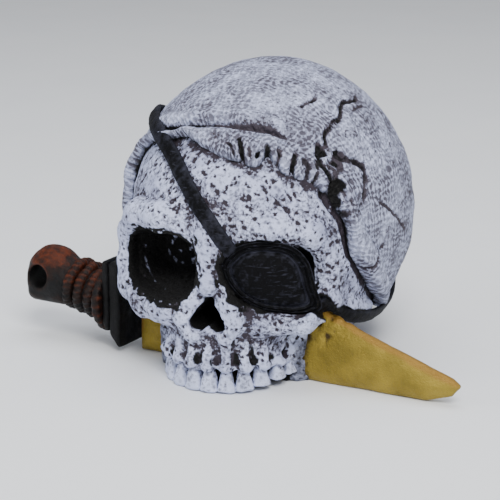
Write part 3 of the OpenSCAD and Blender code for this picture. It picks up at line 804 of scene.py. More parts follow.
def carve_skull(clay):
    """The skull's skin with pits, pocks and chisel marks in it, and the marks for its paint and painted
    shade.
    """
    p, faces = clay.skin()
    n = outward(p, [faces])
    out_front = ease(-p[:, 1], 6, 16) * ease(over_hollow(p), 1.1, 1.25)
    stain = region_stain(p)
    shaky = p + 0.5 * np.stack([noise(p, 1.5, 13 + k) for k in range(3)], 1)
    near, own = holes(shaky, 2.7, 11)
    pock = ease(0.5 * own + 0.42 - near, 0, 0.5) * (own > 0.3 - 0.2 * stain)
    near2, own2 = holes(shaky, 1.5, 12)
    pin = ease(0.62 - near2, 0, 0.35) * (own2 > 0.55 - 0.4 * stain)
    rumple = 0.35 * rough(p, 9, 21, 3) + 0.4 * rough(p, 2.6, 24, 2)
    streak = rough(p * (1, 1, 0.3), 1.8, 31, 2) * ease(13.5 - p[:, 2], 0, 3)
    push = rumple - 0.6 * pock - 0.45 * pin + 0.3 * streak
    p = p + n * (push * out_front)[:, None]
    p[:, 2] = np.maximum(p[:, 2], 0.0)
    hollow = hollowness(p, [faces], 8)
    edge = from_line(p, trail(HEM_FRONT, -1.6, 150))
    wash = np.clip(hollow * 1.9, -0.2, 0.8) + 0.5 * pock + 0.3 * pin + 0.42 * stain
    # brown along the hem's front edge: painted shadow under the hem, laid over the wash
    wash = wash + 0.6 * ease(2.6 + rough(p, 3, 27, 2) - edge, 0, 2)
    # painted shade: near black in the holes, gaps and grooves and beside the hem
    depth = painted_shade_in_holes(p, outward(p, [faces]))
    marks = {"wash": np.clip(wash, -0.4, 1.3), "deep": depth, "pitted": stain}
    return p, [faces], marks


def region_stain(p):
    """Where the wash was left thick: along the strap and patch, by the nose, on the jaw's sides."""
    line = trail([s[:2] for s in STRAP_ROUTE[:6]], -2.0, 30)
    edge = np.array([(x, patch_y(x, z), z) for x, z in closed_line(PATCH_EDGE, 60)])
    stain = 0.75 * ease(6.5 - from_line(p, line), 0, 5) + 0.9 * ease(5.0 - from_line(p, edge), 0, 4)
    for c, r, amount in (((-6.5, -47, 24), 5.5, 0.8), ((-20, -42, 21), 8, 0.45), ((-26, -30, 50), 9, 0.5),
                         ((14, -42, 20), 9, 0.7), ((2, -47, 12), 14, 0.3), ((24, -36, 56), 12, 0.25),
                         ((33, -31, 35), 15, 0.55), ((-24, -38, 24), 10, 0.5), ((8, -44, 50), 14, 0.35),
                         ((22, -42, 18), 9, 0.4), ((-10, -45, 44), 10, 0.25)):
        stain = stain + amount * ease(r - np.linalg.norm(p - c, axis=1), 0, r * 0.7)
    return np.clip(stain + 0.12 + 0.3 * rough(p, 12, 41, 2), 0, 1.2)


def painted_shade_in_holes(p, n):
    """How black each place is painted as shade: inside the sockets and nose, between the teeth and
    roots, in the hollow, in the groove beside the lower strap, and as the hem's shadow beside it."""
    x, y, z = p.T
    socket = np.minimum(socket_hole(*OPEN_EYE)(x, y, z), socket_hole(*COVERED_EYE)(x, y, z))
    inward = y - rim_y(x)
    side = np.sign(x - MID)
    to_mid = np.stack([MID + side * SOCKET[0] - x, 0 * x, SOCKET[1] - z], 1)
    to_mid /= np.maximum(np.linalg.norm(to_mid, axis=1, keepdims=True), 1e-6)
    facing = (n * to_mid).sum(1)
    # painted shade on the socket walls that face inwards
    deep = ease(3.4 - socket, 0, 0.9) * np.maximum(ease(facing, 0.25, 0.6),
                                                   ease(inward, 3, 5) * ease(facing, -0.3, 0.0))
    # painted shade in the nose, which is a shallow pit
    nose = ease(-nose_hole(x, y, z), -1.6, -0.7) * ease(y, -49.3, -47.8)
    q = np.sqrt(((x - MID) / 17.4) ** 2 + (np.minimum(y + 27, 0) / 20.6) ** 2)
    gum = ease(1.06 - q, 0, 0.05) * ease(7.3 - z, 0, 0.6)
    slots = np.zeros(len(p))
    shaky = 0.5 * noise(p, 1.6, 43)
    for k in range(len(GAPS)):
        slots = np.maximum(slots, 0.8 * ease(0.35 + shaky - root_slot(k)(x, y, z), 0, 0.6))
    # painted shade on the jaw's side behind the teeth
    jaw_flank_shade = 0.55 * ease(14.5 - z, 0, 3) * ease(y, -36, -32)
    inside = ease(over_hollow(p), 1.2, 1.02)
    strap = 0.9 * ease(3.9 - from_line(p, strap_bed()), 0, 0.7)
    # painted shadow of the hem's roll on the bone beside it
    beside = 0.7 * ease(1.9 - from_line(p, trail(HEM_SIDE, -1.2, 40)), 0, 0.8)
    return np.maximum.reduce([deep, nose, gum, slots, jaw_flank_shade, inside, strap, beside])


def tooth(t, wide):
    """One tooth: narrow at the gum, wide and flat at the biting edge, a little worn."""
    bottom = np.interp(t, [-80, 6, 36, 48, 60, 80], [0.1, 0.1, 0.7, 1.6, 2.4, 3.0])
    up = np.linspace(0, 1, 26)
    turn = np.linspace(0, math.tau, 36, endpoint=False)
    half_w = wide / 2 * (1.0 - 0.68 * up ** 0.85) * np.sqrt(1 - np.clip(0.1 - up, 0, 0.1) ** 2 / 0.014)
    half_d = (2.1 - 0.5 * up) * np.sqrt(1 - np.clip(0.12 - up, 0, 0.12) ** 2 / 0.02)
    c, s = np.cos(turn), np.sin(turn)
    square = (np.abs(c) ** 3 + np.abs(s) ** 3) ** (-1 / 3)
    x = half_w[:, None] * c * square
    y = half_d[:, None] * s * square + 0.9 * up[:, None]
    z = np.repeat((bottom + up * (8.0 - bottom))[:, None], len(turn), 1)
    cx, cy = on_arch(t, 2.5)
    r = math.radians(t)
    points, faces = loft(np.stack([cx + x * math.cos(r) - y * math.sin(r),
                                   cy + x * math.sin(r) + y * math.cos(r), z], -1))
    n = outward(points, faces)
    push = 0.22 * rough(points, 2.0, 51, 2) + 0.2 * rough(points * (1, 1, 0.35), 1.6, 53, 1)
    points = points + n * push[:, None]
    points[:, 2] = np.maximum(points[:, 2], 0.0)
    return points, faces


def make_teeth(name, places, wide, material):
    p, faces = joined([tooth(t, wide) for t in places])
    hollow = hollowness(p, faces, 4)
    # painted shade: darker towards the gum, under the jaw's lip
    upper = ease(p[:, 2], 4.5, 7.0) * 0.35
    marks = {"wash": np.clip(hollow * 3 + upper + 0.1, -0.3, 1), "pitted": np.full(len(p), 0.35)}
    make(name, p, faces, material, replaces=(name,), marks=marks)


# ---------------------------------------------------------------- the headscarf

HEM_EDGE = [(-180, -40), (-120, -42), (-94, -38), (-78, -18), (-69, 6), (-64, 20), (-56, 29), (-44, 34),
            (-31, 37.3), (-23, 38.8), (-17, 37), (-6, 34.3), (1.3, 32.7), (9, 31), (14, 29.5), (18, 30),
            (22, 31.2), (26, 28.9), (30, 25.4), (36, 24.4), (41, 21.4), (45, 18.5), (49, 13), (53, 7),
            (55, -3), (62, -13), (71, -23), (94, -38), (120, -42), (180, -40)]
HEM_FRONT = HEM_EDGE[7:28]                   # its run over the face
HEM_SIDE = HEM_EDGE[21:28]                   # and beside the patch, down to the cheek
HEM_TOP = [(-180, -31), (-120, -33), (-94, -27), (-80, 0), (-72, 18), (-64, 28), (-56, 33), (-45, 36.2),
           (-31, 39.6), (-22, 42), (-8, 43.6), (1, 43.6), (12, 43.2), (21, 41.8), (30, 39), (38, 35),
           (48, 31), (56, 22), (62, 5), (70, -6), (82, -20), (94, -29), (120, -33), (180, -31)]
TEARS = [                                    # half a width in mm, how black its painted shade is, and (az, el) spots
    (0.45, 0.9, [(90, 51), (75, 51.7), (69, 49.7), (62, 45), (56, 43), (51.4, 40.6), (50, 37), (46.7, 35.5)]),
    (0.8, 0.8, [(46, 36), (44.5, 32.6), (44, 29.3), (46, 26), (47.8, 22), (49, 18), (48, 14), (51, 10)]),
    (0.6, 0.6, [(54, 31.5), (57, 29.6), (62, 27.8), (67, 23), (64, 19), (62, 15), (58.5, 12)]),
    (0.3, 0.7, [(4.2, 36.5), (6, 34.5), (8, 31)]),
    (0.5, 0.9, [(8.6, 38.6), (9.6, 36), (11, 31.5)]),
    (0.3, 0.6, [(13.8, 35), (14.4, 33), (15.4, 30.5)]),
    (0.35, 0.8, [(26.6, 34), (26.2, 31.5), (25, 28.5)]),
    (0.55, 1.0, [(33.4, 33.4), (33, 30), (31.8, 25.5)]),
    (0.5, 0.55, [(37.6, 30.5), (38.6, 28.5), (38.2, 24)]),
    (0.35, 0.75, [(42.3, 30), (42.2, 27), (41, 22)]),
    (0.3, 0.5, [(60, -12), (66, -9), (72, -5)]),
    (0.2, 0.3, [(70, 12), (80, 4), (88, -2)]),
    (0.3, 0.7, [(77, 47.5), (82, 48.2), (88, 48)]),
    (0.3, 0.7, [(42, 52.5), (48, 54.5), (55, 56)]),
]
HOLES = [(47.5, 33.2, 1.1), (48.8, 20.3, 2.1), (48.3, 15.1, 1.7), (51.8, 28.6, 0.8), (53.5, 33, 0.6),
         (17.8, 32.7, 0.8)]                  # az, el and radius in mm
NOTCHES = [(22, 2.6, 2.2), (47, 1.6, 1.6), (11, 1.2, 0.9), (26, 1.2, 0.8), (32, 2.0, 0.9),
           (38, 1.2, 0.9)]                   # tears in the hem's edge: az, depth and half width in degrees
INLET_ROOM = 13.2                            # clear radius round the air stem at the back
WOUND = (50.5, 30.5)                         # middle of the pocked wound
FLAP = (57, 19)                              # middle of the torn flap below it
KNOT = np.array([MID, 46.0, 35.0])


def along(table, az):
    t = np.asarray(table, float)
    line = smooth_line(t, 600)
    line = line[np.argsort(line[:, 0])]
    return np.interp(az, line[:, 0], line[:, 1])


def hem_edge(az, ragged=0.0):
    """The hem's lower edge, arched over the air inlet at the back so that its stem slides out freely."""
    el = along(HEM_EDGE, az) + ragged
    x = 0.91 * CLOTH[0] * np.sin(np.radians(az))
    rise = STEM_Z + np.sqrt(np.maximum(INLET_ROOM ** 2 - x ** 2, 0))
    over = np.degrees(np.arcsin((rise - DOME[2]) / CLOTH[2]))
    return np.where((np.abs(az) > 90) & (np.abs(x) < INLET_ROOM), np.maximum(el, over), el)


def hem_top(az):
    """Where the hem meets the rest of the scarf."""
    el = along(HEM_TOP, az)
    return np.where(np.abs(az) > 90, np.maximum(el, hem_edge(az) + 6), el)


def torn(p):
    """The cracks, holes and torn flap, shared by the scarf and its hem. Gives their height in mm, how
    black each place is painted as shade in the cracks, holes and pocks, and how much wash it holds."""
    shaky = np.stack([rough(p, 2.6, 57 + n, 3) for n in range(3)], 1)
    q = p + 0.9 * shaky
    wobble = rough(p, 3.5, 61, 2)
    height, black = np.zeros(len(p)), np.zeros(len(p))
    wash = np.zeros(len(p))
    for half, amount, spots in TEARS:
        near = from_line(q, trail(spots, 0, 40))
        height = np.minimum(height, -(0.8 + half) * np.exp(-(near / (half + 0.15)) ** 2))
        black = np.maximum(black, amount * ease(half + 0.35 + 0.25 * wobble - near, 0, 0.5))
        wash = np.maximum(wash, 0.45 * ease(half + 1.3 - near + 0.6 * wobble, 0, 1.2))
    wound = np.linalg.norm((q - on_dome(*WOUND)), axis=1)
    below = from_line(q, trail([(49, 27), (48, 22), (49, 16)]))
    core = np.maximum(ease(5.0 - wound, 0, 1.3), ease(2.6 - below, 0, 1))
    flap = ease(6.4 - np.linalg.norm(q - on_dome(*FLAP), axis=1), 0, 2.4)
    near, own = holes(q, 2.6, 73)
    pock = ease(0.55 + 0.6 * own - near, 0, 0.4) * (own > 0.2) * np.maximum(flap, core)
    height = height + 1.1 * flap * (1 - core) + core * (1.1 * rough(p, 1.9, 75, 2) - 0.7) - 0.8 * pock
    # painted shade: the holes are shallow dents painted black
    for az, el, r in HOLES:
        near = np.linalg.norm(q - on_dome(az, el), axis=1)
        height = height - 1.6 * ease(r + 0.3 - near, 0, 0.8)
        black = np.maximum(black, ease(r + 0.4 - near, 0, 0.5))
    return height, np.maximum(black, 0.6 * pock), np.maximum.reduce([wash, 0.62 * core, 0.75 * pock])


def relief(p, az, el):
    """Height of folds, cracks and wrinkles on the scarf in mm, how black its painted shade is, and how
    brown each place is with wash and painted shade.
    """
    wobble = rough(p, 5, 61, 2)
    above = el - along(HEM_TOP, az)
    front = ease(az, -58, -48) * ease(34 - az, 0, 8)
    height = 0.5 * rough(p, 16, 62, 2) + 0.22 * rough(p, 5, 64, 2) + 0.13 * rough(p, 1.7, 66, 2)
    fold = np.exp(-((above - 4.6 + 0.8 * wobble) / 3.0) ** 2)
    height += 1.7 * front * fold
    valley = np.exp(-((above - 0.7) / 0.9) ** 2) * front
    height -= 1.3 * valley
    cut, black, brown = torn(p)
    height += cut
    knot = np.linalg.norm(p - KNOT, axis=1)
    # folds gather towards the knot at the back
    turn = np.arctan2(p[:, 0] - KNOT[0], p[:, 2] - KNOT[2])
    pull = np.exp(-(knot / 34) ** 2)
    height += 1.0 * pull * np.sin(turn * 13 + 2.2 * rough(p, 14, 68, 2)) * ease(knot, 2, 9)
    swirl = rough(p * (0.5, 0.25, 1.4), 5, 71, 2) * ease(p[:, 0], 18, 34)
    height += 0.35 * swirl
    left = 0.3 + 0.7 * ease(-az, 4, 24)
    # painted shade: black in the crease under the fold over the hem
    black = np.maximum(black, 0.85 * left * ease(valley + 0.35 * wobble, 0.35, 0.8))
    # brown painted shade along the same crease
    stain = 0.45 * ease(2.6 - np.abs(above - 1.2), 0, 2.2) * front * ease(wobble, -0.4, 0.3)
    stain = stain + 0.5 * ease(9 - np.linalg.norm(p - on_dome(17, 41), axis=1), 0, 7)
    return np.maximum(height, -1.5), black, np.maximum(brown, stain)


def cloth_place(p):
    """The cloth's own coordinates in metres: threads run round the front-to-back axis and along it."""
    d = p - DOME
    turn = np.arctan2(d[:, 0], d[:, 2])
    tilt = np.arctan2(np.hypot(d[:, 0], d[:, 2]), -d[:, 1])
    return np.stack([turn * 42, tilt * 44], 1) * MM


def make_scarf(material):
    cols, rows, under = 460, 130, 26
    az = np.linspace(-180, 180, cols, endpoint=False)
    low = hem_top(az) - 1.2
    share = np.concatenate([np.linspace(0, 0.985, rows), np.linspace(0.985, 0, under)])
    el = low[None] + (90 - low[None]) * share[:, None]
    az = np.repeat(az[None], len(share), 0)
    base = on_dome(az.ravel(), el.ravel(), 0.0)
    height, dark, wash = relief(base, az.ravel(), el.ravel())
    inner = np.repeat(np.arange(len(share)) >= rows, cols)
    lift = np.where(inner, -1.75, height)
    p = on_dome(az.ravel(), el.ravel(), lift)
    points, faces = loft_tube(p.reshape(len(share), cols, 3), rows)
    hollow = hollowness(points, faces, 7)
    tail = np.zeros(len(points) - len(p))
    # dark is painted shade; wash also holds the brown painted shade of the crease
    brown = hollow * 2.4 + np.append(wash, tail) + 0.1 + 0.14 * rough(points, 9, 76, 2)
    marks = {"wash": np.clip(brown, -0.4, 1.3), "deep": np.append(dark, tail),
             "pitted": np.append(0.25 + 0.4 * wash, tail)}
    make("headscarf", points, faces, material, replaces=("headscarf",), marks=marks,
         cloth=cloth_place(points))


def loft_tube(rings, outer_rows):
    """Rings that go up the outside and down the inside of a dome, closed over the top and round the edge."""
    rows, n = rings.shape[:2]
    quads = []
    j = np.arange(n)
    k = (j + 1) % n
    for i in range(rows - 1):
        if i == outer_rows - 1:
            continue
        quads.append(np.stack([i * n + j, i * n + k, (i + 1) * n + k, (i + 1) * n + j], 1))
    last = (rows - 1) * n
    quads.append(np.stack([last + j, last + k, k, j], 1))
    points = rings.reshape(-1, 3)
    tops = np.stack([rings[outer_rows - 1].mean(0), rings[outer_rows].mean(0)])
    a, b = len(points), len(points) + 1
    up, down = (outer_rows - 1) * n, outer_rows * n
    caps = np.concatenate([np.stack([np.full_like(j, a), up + j, up + k], 1),
                           np.stack([np.full_like(j, b), down + k, down + j], 1)])
    return np.concatenate([points, tops]), [np.concatenate(quads), caps]


def make_hem(material):
    """The rolled, torn front edge of the scarf: a thick ridge with wrinkles across it, with painted
    shade along its lower edge, in its creases and notch, and black on its underside.
    """
    cols, outer, inner = 760, 22, 7
    az = np.linspace(-180, 180, cols, endpoint=False)
    near = on_dome(az, hem_edge(az))
    ragged = 0.9 * rough(near, 4.5, 81, 2) + 0.5 * rough(near, 1.8, 83, 1)
    notch = np.zeros(cols)
    for place, size, half in NOTCHES:
        notch += size * np.exp(-((az - place) / half) ** 2)
    edge = hem_edge(az, ragged + notch)
    top = hem_top(az) + 0.6
    share = np.concatenate([np.linspace(0, 1, outer), np.linspace(1, 0, inner)])
    el = edge[None] + (top - edge)[None] * share[:, None]
    azs = np.repeat(az[None], len(share), 0)
    base = on_dome(azs.ravel(), el.ravel(), 0.0).reshape(len(share), cols, 3)
    flat = base.reshape(-1, 3)
    s = share[:, None]
    roll = np.interp(s, [0, 0.1, 0.28, 0.5, 0.78, 1], [-1.3, 0.7, 1.6, 1.3, 0.5, -0.9])
    wide = ease(np.abs(az - 20), 34, 14)[None]
    across = np.stack([az * 0.62, np.zeros_like(az), np.zeros_like(az)], 1)
    fold = 1 - 2.0 * np.abs(rough(across, 3.4, 85, 2))
    wrinkle = fold[None] * ease(s, 1.05, 0.45) * (0.2 + 0.6 * wide)
    lump = rough(flat * (1, 1, 0.5), 3.4, 86, 3).reshape(len(share), cols)
    cut, black, brown = [v.reshape(len(share), cols) for v in torn(flat)]
    proud = 1.3 * ease(az, 44, 54) * ease(90 - az, 0, 14)
    lift = roll + wrinkle + 0.9 * lump + cut + proud * ease(s, 0.0, 0.2) * ease(s, 1.0, 0.45)
    lift = np.maximum(lift, -1.5 - 0.3 * (s < 0.05))
    spotty = rough(near, 5, 88, 2)
    # painted shade: the crease along the hem's top and the shadow along its lower edge
    upper = 0.8 * ease(s, 0.84, 0.96) * (0.25 + 0.75 * ease(-az, 4, 24))
    dark = (0.75 * ease(s, 0.1, 0.0) + upper) * ease(spotty, -0.6, 0.1)[None]
    # painted shade in the troughs of the wrinkles
    dark = np.maximum(dark, 0.5 * ease(-fold, 0.3, 0.9)[None] * ease(s, 0.9, 0.5) * wide)
    # painted shade in the torn notch
    dark = np.maximum(dark, 0.95 * np.exp(-((az - 21.5) / 2.0) ** 2)[None] * ease(s, 0.6, 0.2))
    dark = np.maximum(dark, black)
    inside = (np.arange(len(share)) >= outer)[:, None]
    lift = np.where(inside, UNDER, lift)
    p = on_dome(azs.ravel(), el.ravel(), lift.ravel()).reshape(len(share), cols, 3)
    points, faces = loft(np.swapaxes(p, 0, 1)[:, ::-1], wrap=True)
    # the underside is painted black as the shade under the hem
    dark = np.swapaxes(np.where(inside, 1.0, dark), 0, 1)[:, ::-1].ravel()
    hollow = hollowness(points, faces, 6)
    brown = np.swapaxes(brown, 0, 1)[:, ::-1].ravel()
    # the painted shade also darkens the wash
    marks = {"wash": np.clip(hollow * 2.2 + 0.3 * dark + brown + 0.1, -0.4, 1.3), "deep": 0.9 * dark,
             "pitted": np.full(len(points), 0.4)}
    make("scarf_hem", points, faces, material, replaces=("scarf_hem",), marks=marks,
         cloth=cloth_place(points))


def make_knot(material):
    low, high = [np.array(v) * 1000 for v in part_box("scarf_knot")]
    c = (low + high) / 2
    half = (high - low) / 2
    clay = Clay(steps(low[0] - 2, 0.5, high[0] + 2), steps(low[1] - 2, 0.5, high[1] + 1),
                steps(low[2] - 2, 0.5, high[2] + 2))
    for s in (-1, 1):
        clay.add(egg(c + (s * half[0] * 0.42, -0.3, 0), (half[0] * 0.55, half[1] * 0.85, half[2] * 0.9)), k=1)
    clay.add(egg(c + (0, 0.2, 0), (half[0] * 0.36, half[1] * 0.9, half[2] * 0.95)), k=0.5)
    p, faces = clay.skin()
    n = outward(p, [faces])
    fold = np.sin((p[:, 2] - c[2]) * 2.1 + 0.35 * (p[:, 0] - c[0]) + 1.5 * noise(p, 5, 91))
    p = p + n * (0.28 * fold + 0.2 * rough(p, 3, 92, 2) - 0.15)[:, None]
    p = np.clip(p, low, high)
    finish_cloth("scarf_knot", p, [faces], material)


def finish_cloth(name, p, faces, material):
    hollow = hollowness(p, faces, 5)
    # painted shade: near black in the deepest hollows
    marks = {"wash": np.clip(hollow * 3 + 0.2, -0.3, 1.2), "deep": ease(hollow, 0.15, 0.45),
             "pitted": np.full(len(p), 0.3)}
    make(name, p, faces, material, replaces=(name,), marks=marks, cloth=cloth_place(p))


def band(route, wide, thick, count, shape=2.6, fringe=0.0):
    """A flat band over the dome with rounded edges. The route gives az, el and lift for its middle."""
    r = smooth_line(route, count)
    mid = on_dome(r[:, 0], r[:, 1], r[:, 2])
    ahead = np.gradient(mid, axis=0)
    ahead /= np.linalg.norm(ahead, axis=1, keepdims=True)
    n = off_dome(r[:, 0], r[:, 1])
    across = np.cross(ahead, n)
    across /= np.linalg.norm(across, axis=1, keepdims=True)
    n = np.cross(across, ahead)
    turn = np.linspace(0, math.tau, 32, endpoint=False)
    c, s = np.cos(turn), np.sin(turn)
    size = (np.abs(c) ** shape + np.abs(s) ** shape) ** (-1 / shape)
    row = np.arange(count)
    end = np.sqrt(np.clip(1 - (1 - np.minimum(row, row[::-1]) / 3.0).clip(0, 1) ** 2, 0.08, 1))
    w = wide / 2 * (1 + fringe * np.sin(row * 0.35)) * end
    x = w[:, None] * c * size
    y = (thick / 2 * end)[:, None] * s * size
    rings = mid[:, None] + across[:, None] * x[..., None] + n[:, None] * y[..., None]
    return rings[:, ::-1], n


def make_tail(name, mirror, material):
    route = [(168, -12, 1.4), (163, -19, 1.6), (157, -27, 1.8), (150, -35, 2.0)]
    if mirror:
        route = [(-a, e, u) for a, e, u in route]
    rings, _ = band(route, 8.6, 1.7, 70, fringe=0.04)
    p, faces = loft(rings)
    n = outward(p, faces)
    az = np.degrees(np.arctan2(p[:, 0] - MID, DOME[1] - p[:, 1]))
    p = p + n * (0.16 * np.sin(az * 2.2 + p[:, 2] * 0.4) + 0.12 * rough(p, 3, 95, 2) - 0.1)[:, None]
    finish_cloth(name, p, faces, material)


# ---------------------------------------------------------------- the eye patch and its straps

def patch_y(x, z):
    return -48.4 + 0.023 * (x - 9) ** 2 + 0.02 * (z - 36) ** 2


def patch_place(x, z, lift):
    slope_x, slope_z = 0.046 * (x - 9), 0.04 * (z - 36)
    n = np.stack([slope_x, -np.ones_like(x), slope_z], -1)
    n /= np.linalg.norm(n, axis=-1, keepdims=True)
    return np.stack([x, patch_y(x, z), z], -1) + n * np.asarray(lift)[..., None]


PATCH_MID = (17.3, 32.4)
PAD_SHARE = 0.79                             # how far out the pad reaches before the rim starts


def ring_at(share, count=150):
    edge = closed_line(PATCH_EDGE, count)
    return np.array(PATCH_MID) + (edge - PATCH_MID) * np.asarray(share)[..., None, None]


def make_patch(material):
    top_rings = 46
    share = np.concatenate([np.linspace(0.02, 1, top_rings), np.linspace(0.98, 0.02, 8)]) * PAD_SHARE
    grid = ring_at(share)
    x, z = grid[..., 0], grid[..., 1]
    s = share[:, None] / PAD_SHARE
    flat = np.stack([x, patch_y(x, z), z], -1).reshape(-1, 3)
    slanted = np.stack([flat[:, 0] - 0.8 * flat[:, 2], flat[:, 1] * 0, (flat[:, 2] + flat[:, 0]) * 0.25], 1)
    crease = rough(slanted, 2.2, 101, 2)
    lift = 0.75 * (1 - s ** 2) - 0.45 * ease(s, 0.86, 1.0) + 0.22 * crease.reshape(x.shape)
    under = (np.arange(len(share)) >= top_rings)[:, None]
    lift = np.where(under, UNDER, lift - 0.2)
    p, faces = loft(patch_place(x, z, lift))
    make("eye_patch", p, faces, material, replaces=("eye_patch",),
         marks={"hollow": raised_and_sunk(p, faces, 6)})


def make_patch_rim(material):
    """Rows of corded piping round the pad, with a thin lip outside them."""
    top_rings = 34
    s = np.concatenate([np.linspace(PAD_SHARE, 1.0, top_rings), np.linspace(0.99, PAD_SHARE + 0.01, 6)])
    grid = ring_at(s, 260)
    x, z = grid[..., 0], grid[..., 1]
    u = (s - PAD_SHARE) / (1 - PAD_SHARE)
    ridges = 0.26 * np.cos(u * math.tau * 2.5 + math.pi) - 0.4 * ease(u, 0.86, 1.0)
    flat = np.stack([x, patch_y(x, z), z], -1).reshape(-1, 3)
    worn = 0.16 * rough(flat, 2.0, 105, 2).reshape(x.shape)
    lift = (0.35 + ridges)[:, None] + worn
    lift = np.where((np.arange(len(s)) >= top_rings)[:, None], UNDER, lift - 0.2)
    p = patch_place(x, z, lift)
    points, faces = loft(np.swapaxes(p, 0, 1)[:, ::-1], wrap=True)
    make("patch_rim", points, faces, material, replaces=("patch_rim",),
         marks={"hollow": raised_and_sunk(points, faces, 5)})


def make_strap(name, route, clay, material, count=170):
    rings, n = band(route, 4.6, 1.7, count)
    middle = rings.mean(1)
    lifts = np.linspace(6, -3, 73)
    probe = middle[:, None] + n[:, None] * lifts[None, :, None]
    inside = clay.inside(probe.reshape(-1, 3)).reshape(len(middle), -1)
    first = np.where(inside.any(1), lifts[inside.argmax(1)], -9)
    raise_by = np.maximum(first + 0.35, 0)
    soft = np.convolve(np.pad(raise_by, 6, mode="edge"), np.ones(13) / 13, "valid")
    rings = rings + n[:, None] * soft[:, None, None]
    p, faces = loft(rings)
    push = 0.14 * rough(p, 2.5, 111, 2) + 0.1 * rough(p, 9, 113, 1)
    p = p + outward(p, faces) * push[:, None]
    make(name, p, faces, material, replaces=(name,), marks={"hollow": raised_and_sunk(p, faces, 5)})


def stitch_tree(material):
    """Stitches along a line: short threads with round ends, laid end to end with gaps."""
    tree = bpy.data.node_groups.new("stitches", "GeometryNodeTree")
    face = tree.interface
    face.new_socket("Geometry", in_out="INPUT", socket_type="NodeSocketGeometry")
    spacing = face.new_socket("Spacing", in_out="INPUT", socket_type="NodeSocketFloat")
    length = face.new_socket("Stitch length", in_out="INPUT", socket_type="NodeSocketFloat")
    thick = face.new_socket("Thread radius", in_out="INPUT", socket_type="NodeSocketFloat")
    face.new_socket("Geometry", in_out="OUTPUT", socket_type="NodeSocketGeometry")
    given = tree.nodes.new("NodeGroupInput")
    source, gap, size, radius = given.outputs[0], given.outputs[1], given.outputs[2], given.outputs[3]
    line = put(tree, "GeometryNodeMeshToCurve", {"Mesh": source})
    line = put(tree, "GeometryNodeResampleCurve", {"Curve": line, "Length": gap}, mode="LENGTH")
    thread = put(tree, "GeometryNodeMeshIcoSphere", {"Radius": radius, "Subdivisions": 2})
    ratio = put(tree, "ShaderNodeMath", {0: size, 1: radius}, operation="DIVIDE")
    ratio = put(tree, "ShaderNodeMath", {0: ratio, 1: 0.5}, operation="MULTIPLY")
    stretch = put(tree, "ShaderNodeCombineXYZ", {0: 1.0, 1: 1.0, 2: ratio})
    thread = put(tree, "GeometryNodeTransform", {"Geometry": thread, "Scale": stretch})
    ahead = put(tree, "GeometryNodeInputTangent")
    turn = put(tree, "FunctionNodeAlignRotationToVector", {"Vector": ahead}, axis="Z")
    jitter = put(tree, "FunctionNodeRandomValue", {"Min": (-0.22,) * 3, "Max": (0.22,) * 3, "Seed": 7},
                 data_type="FLOAT_VECTOR")
    turn = put(tree, "FunctionNodeRotateRotation", {"Rotation": turn, "Rotate By": jitter})
    laid = put(tree, "GeometryNodeInstanceOnPoints", {"Points": line, "Instance": thread, "Rotation": turn})
    whole = put(tree, "GeometryNodeRealizeInstances", {0: laid})
    whole = put(tree, "GeometryNodeSetMaterial", {"Geometry": whole, "Material": material})
    put(tree, "NodeGroupOutput", {0: whole})
    return tree, (spacing.identifier, length.identifier, thick.identifier)


def apply_tree(name, points, closed, tree, values):
    """Runs a tree along a line of points in mm and gives back the plain mesh's object."""
    mesh = bpy.data.meshes.new(name)
    n = len(points)
    links = [(i, i + 1) for i in range(n - 1)] + ([(n - 1, 0)] if closed else [])
    mesh.from_pydata((np.asarray(points) * MM).tolist(), links, [])
    piece = bpy.data.objects.new(name, mesh)
    bpy.context.collection.objects.link(piece)
    mod = piece.modifiers.new("rule", "NODES")
    mod.node_group = tree
    for key, value in values.items():
        mod[key] = value
    bpy.context.view_layer.update()
    ready = piece.evaluated_get(bpy.context.evaluated_depsgraph_get())
    result = bpy.data.meshes.new_from_object(ready)
    piece.modifiers.clear()
    piece.data = result
    result.polygons.foreach_set("use_smooth", [True] * len(result.polygons))
    return piece


def make_stitches(material):
    tree, (spacing, length, thick) = stitch_tree(material)
    for name, share, lift in (("patch_stitches_inner", 0.832, -0.05), ("patch_stitches_outer", 0.916, -0.1)):
        grid = ring_at(np.array([share]), 200)[0]
        line = patch_place(grid[:, 0], grid[:, 1], np.full(len(grid), lift))
        piece = apply_tree(name, line, True, tree, {spacing: 1.5 * MM, length: 1.1 * MM, thick: 0.2 * MM})
        finish_piece(piece, "ornament", ())


# ---------------------------------------------------------------- the dagger

BLADE = [(-31, 0), (60, 0), (67.5, 2.4), (70, 5.6), (67.5, 7.6), (62, 9.4), (51, 13), (39, 17), (30, 21),
         (22, 22), (8, 20.4), (-31, 18)]
COLLAR_BACK = -42.6
POMMEL = np.array([-61.0, 0.0, 18.6])
GRIP_START = np.array([COLLAR_BACK + 0.2, 0, 14.6])
GRIP_R = 6.3
GUARD_MID = 14                               # height of the guard's and collar's middle


def outline_distance(x, z, outline):
    """Distance to a closed outline in mm, negative inside."""
    best = np.full(np.broadcast(x, z).shape, 1e9)
    inside = np.zeros(best.shape, bool)
    for (ax, az), (bx, bz) in zip(outline, outline[1:] + outline[:1]):
        dx, dz = bx - ax, bz - az
        t = np.clip(((x - ax) * dx + (z - az) * dz) / (dx * dx + dz * dz), 0, 1)
        best = np.minimum(best, np.hypot(x - ax - t * dx, z - az - t * dz))
        if az != bz:
            inside ^= ((az > z) != (bz > z)) & (x < dx * (z - az) / dz + ax)
    return np.where(inside, -best, best)


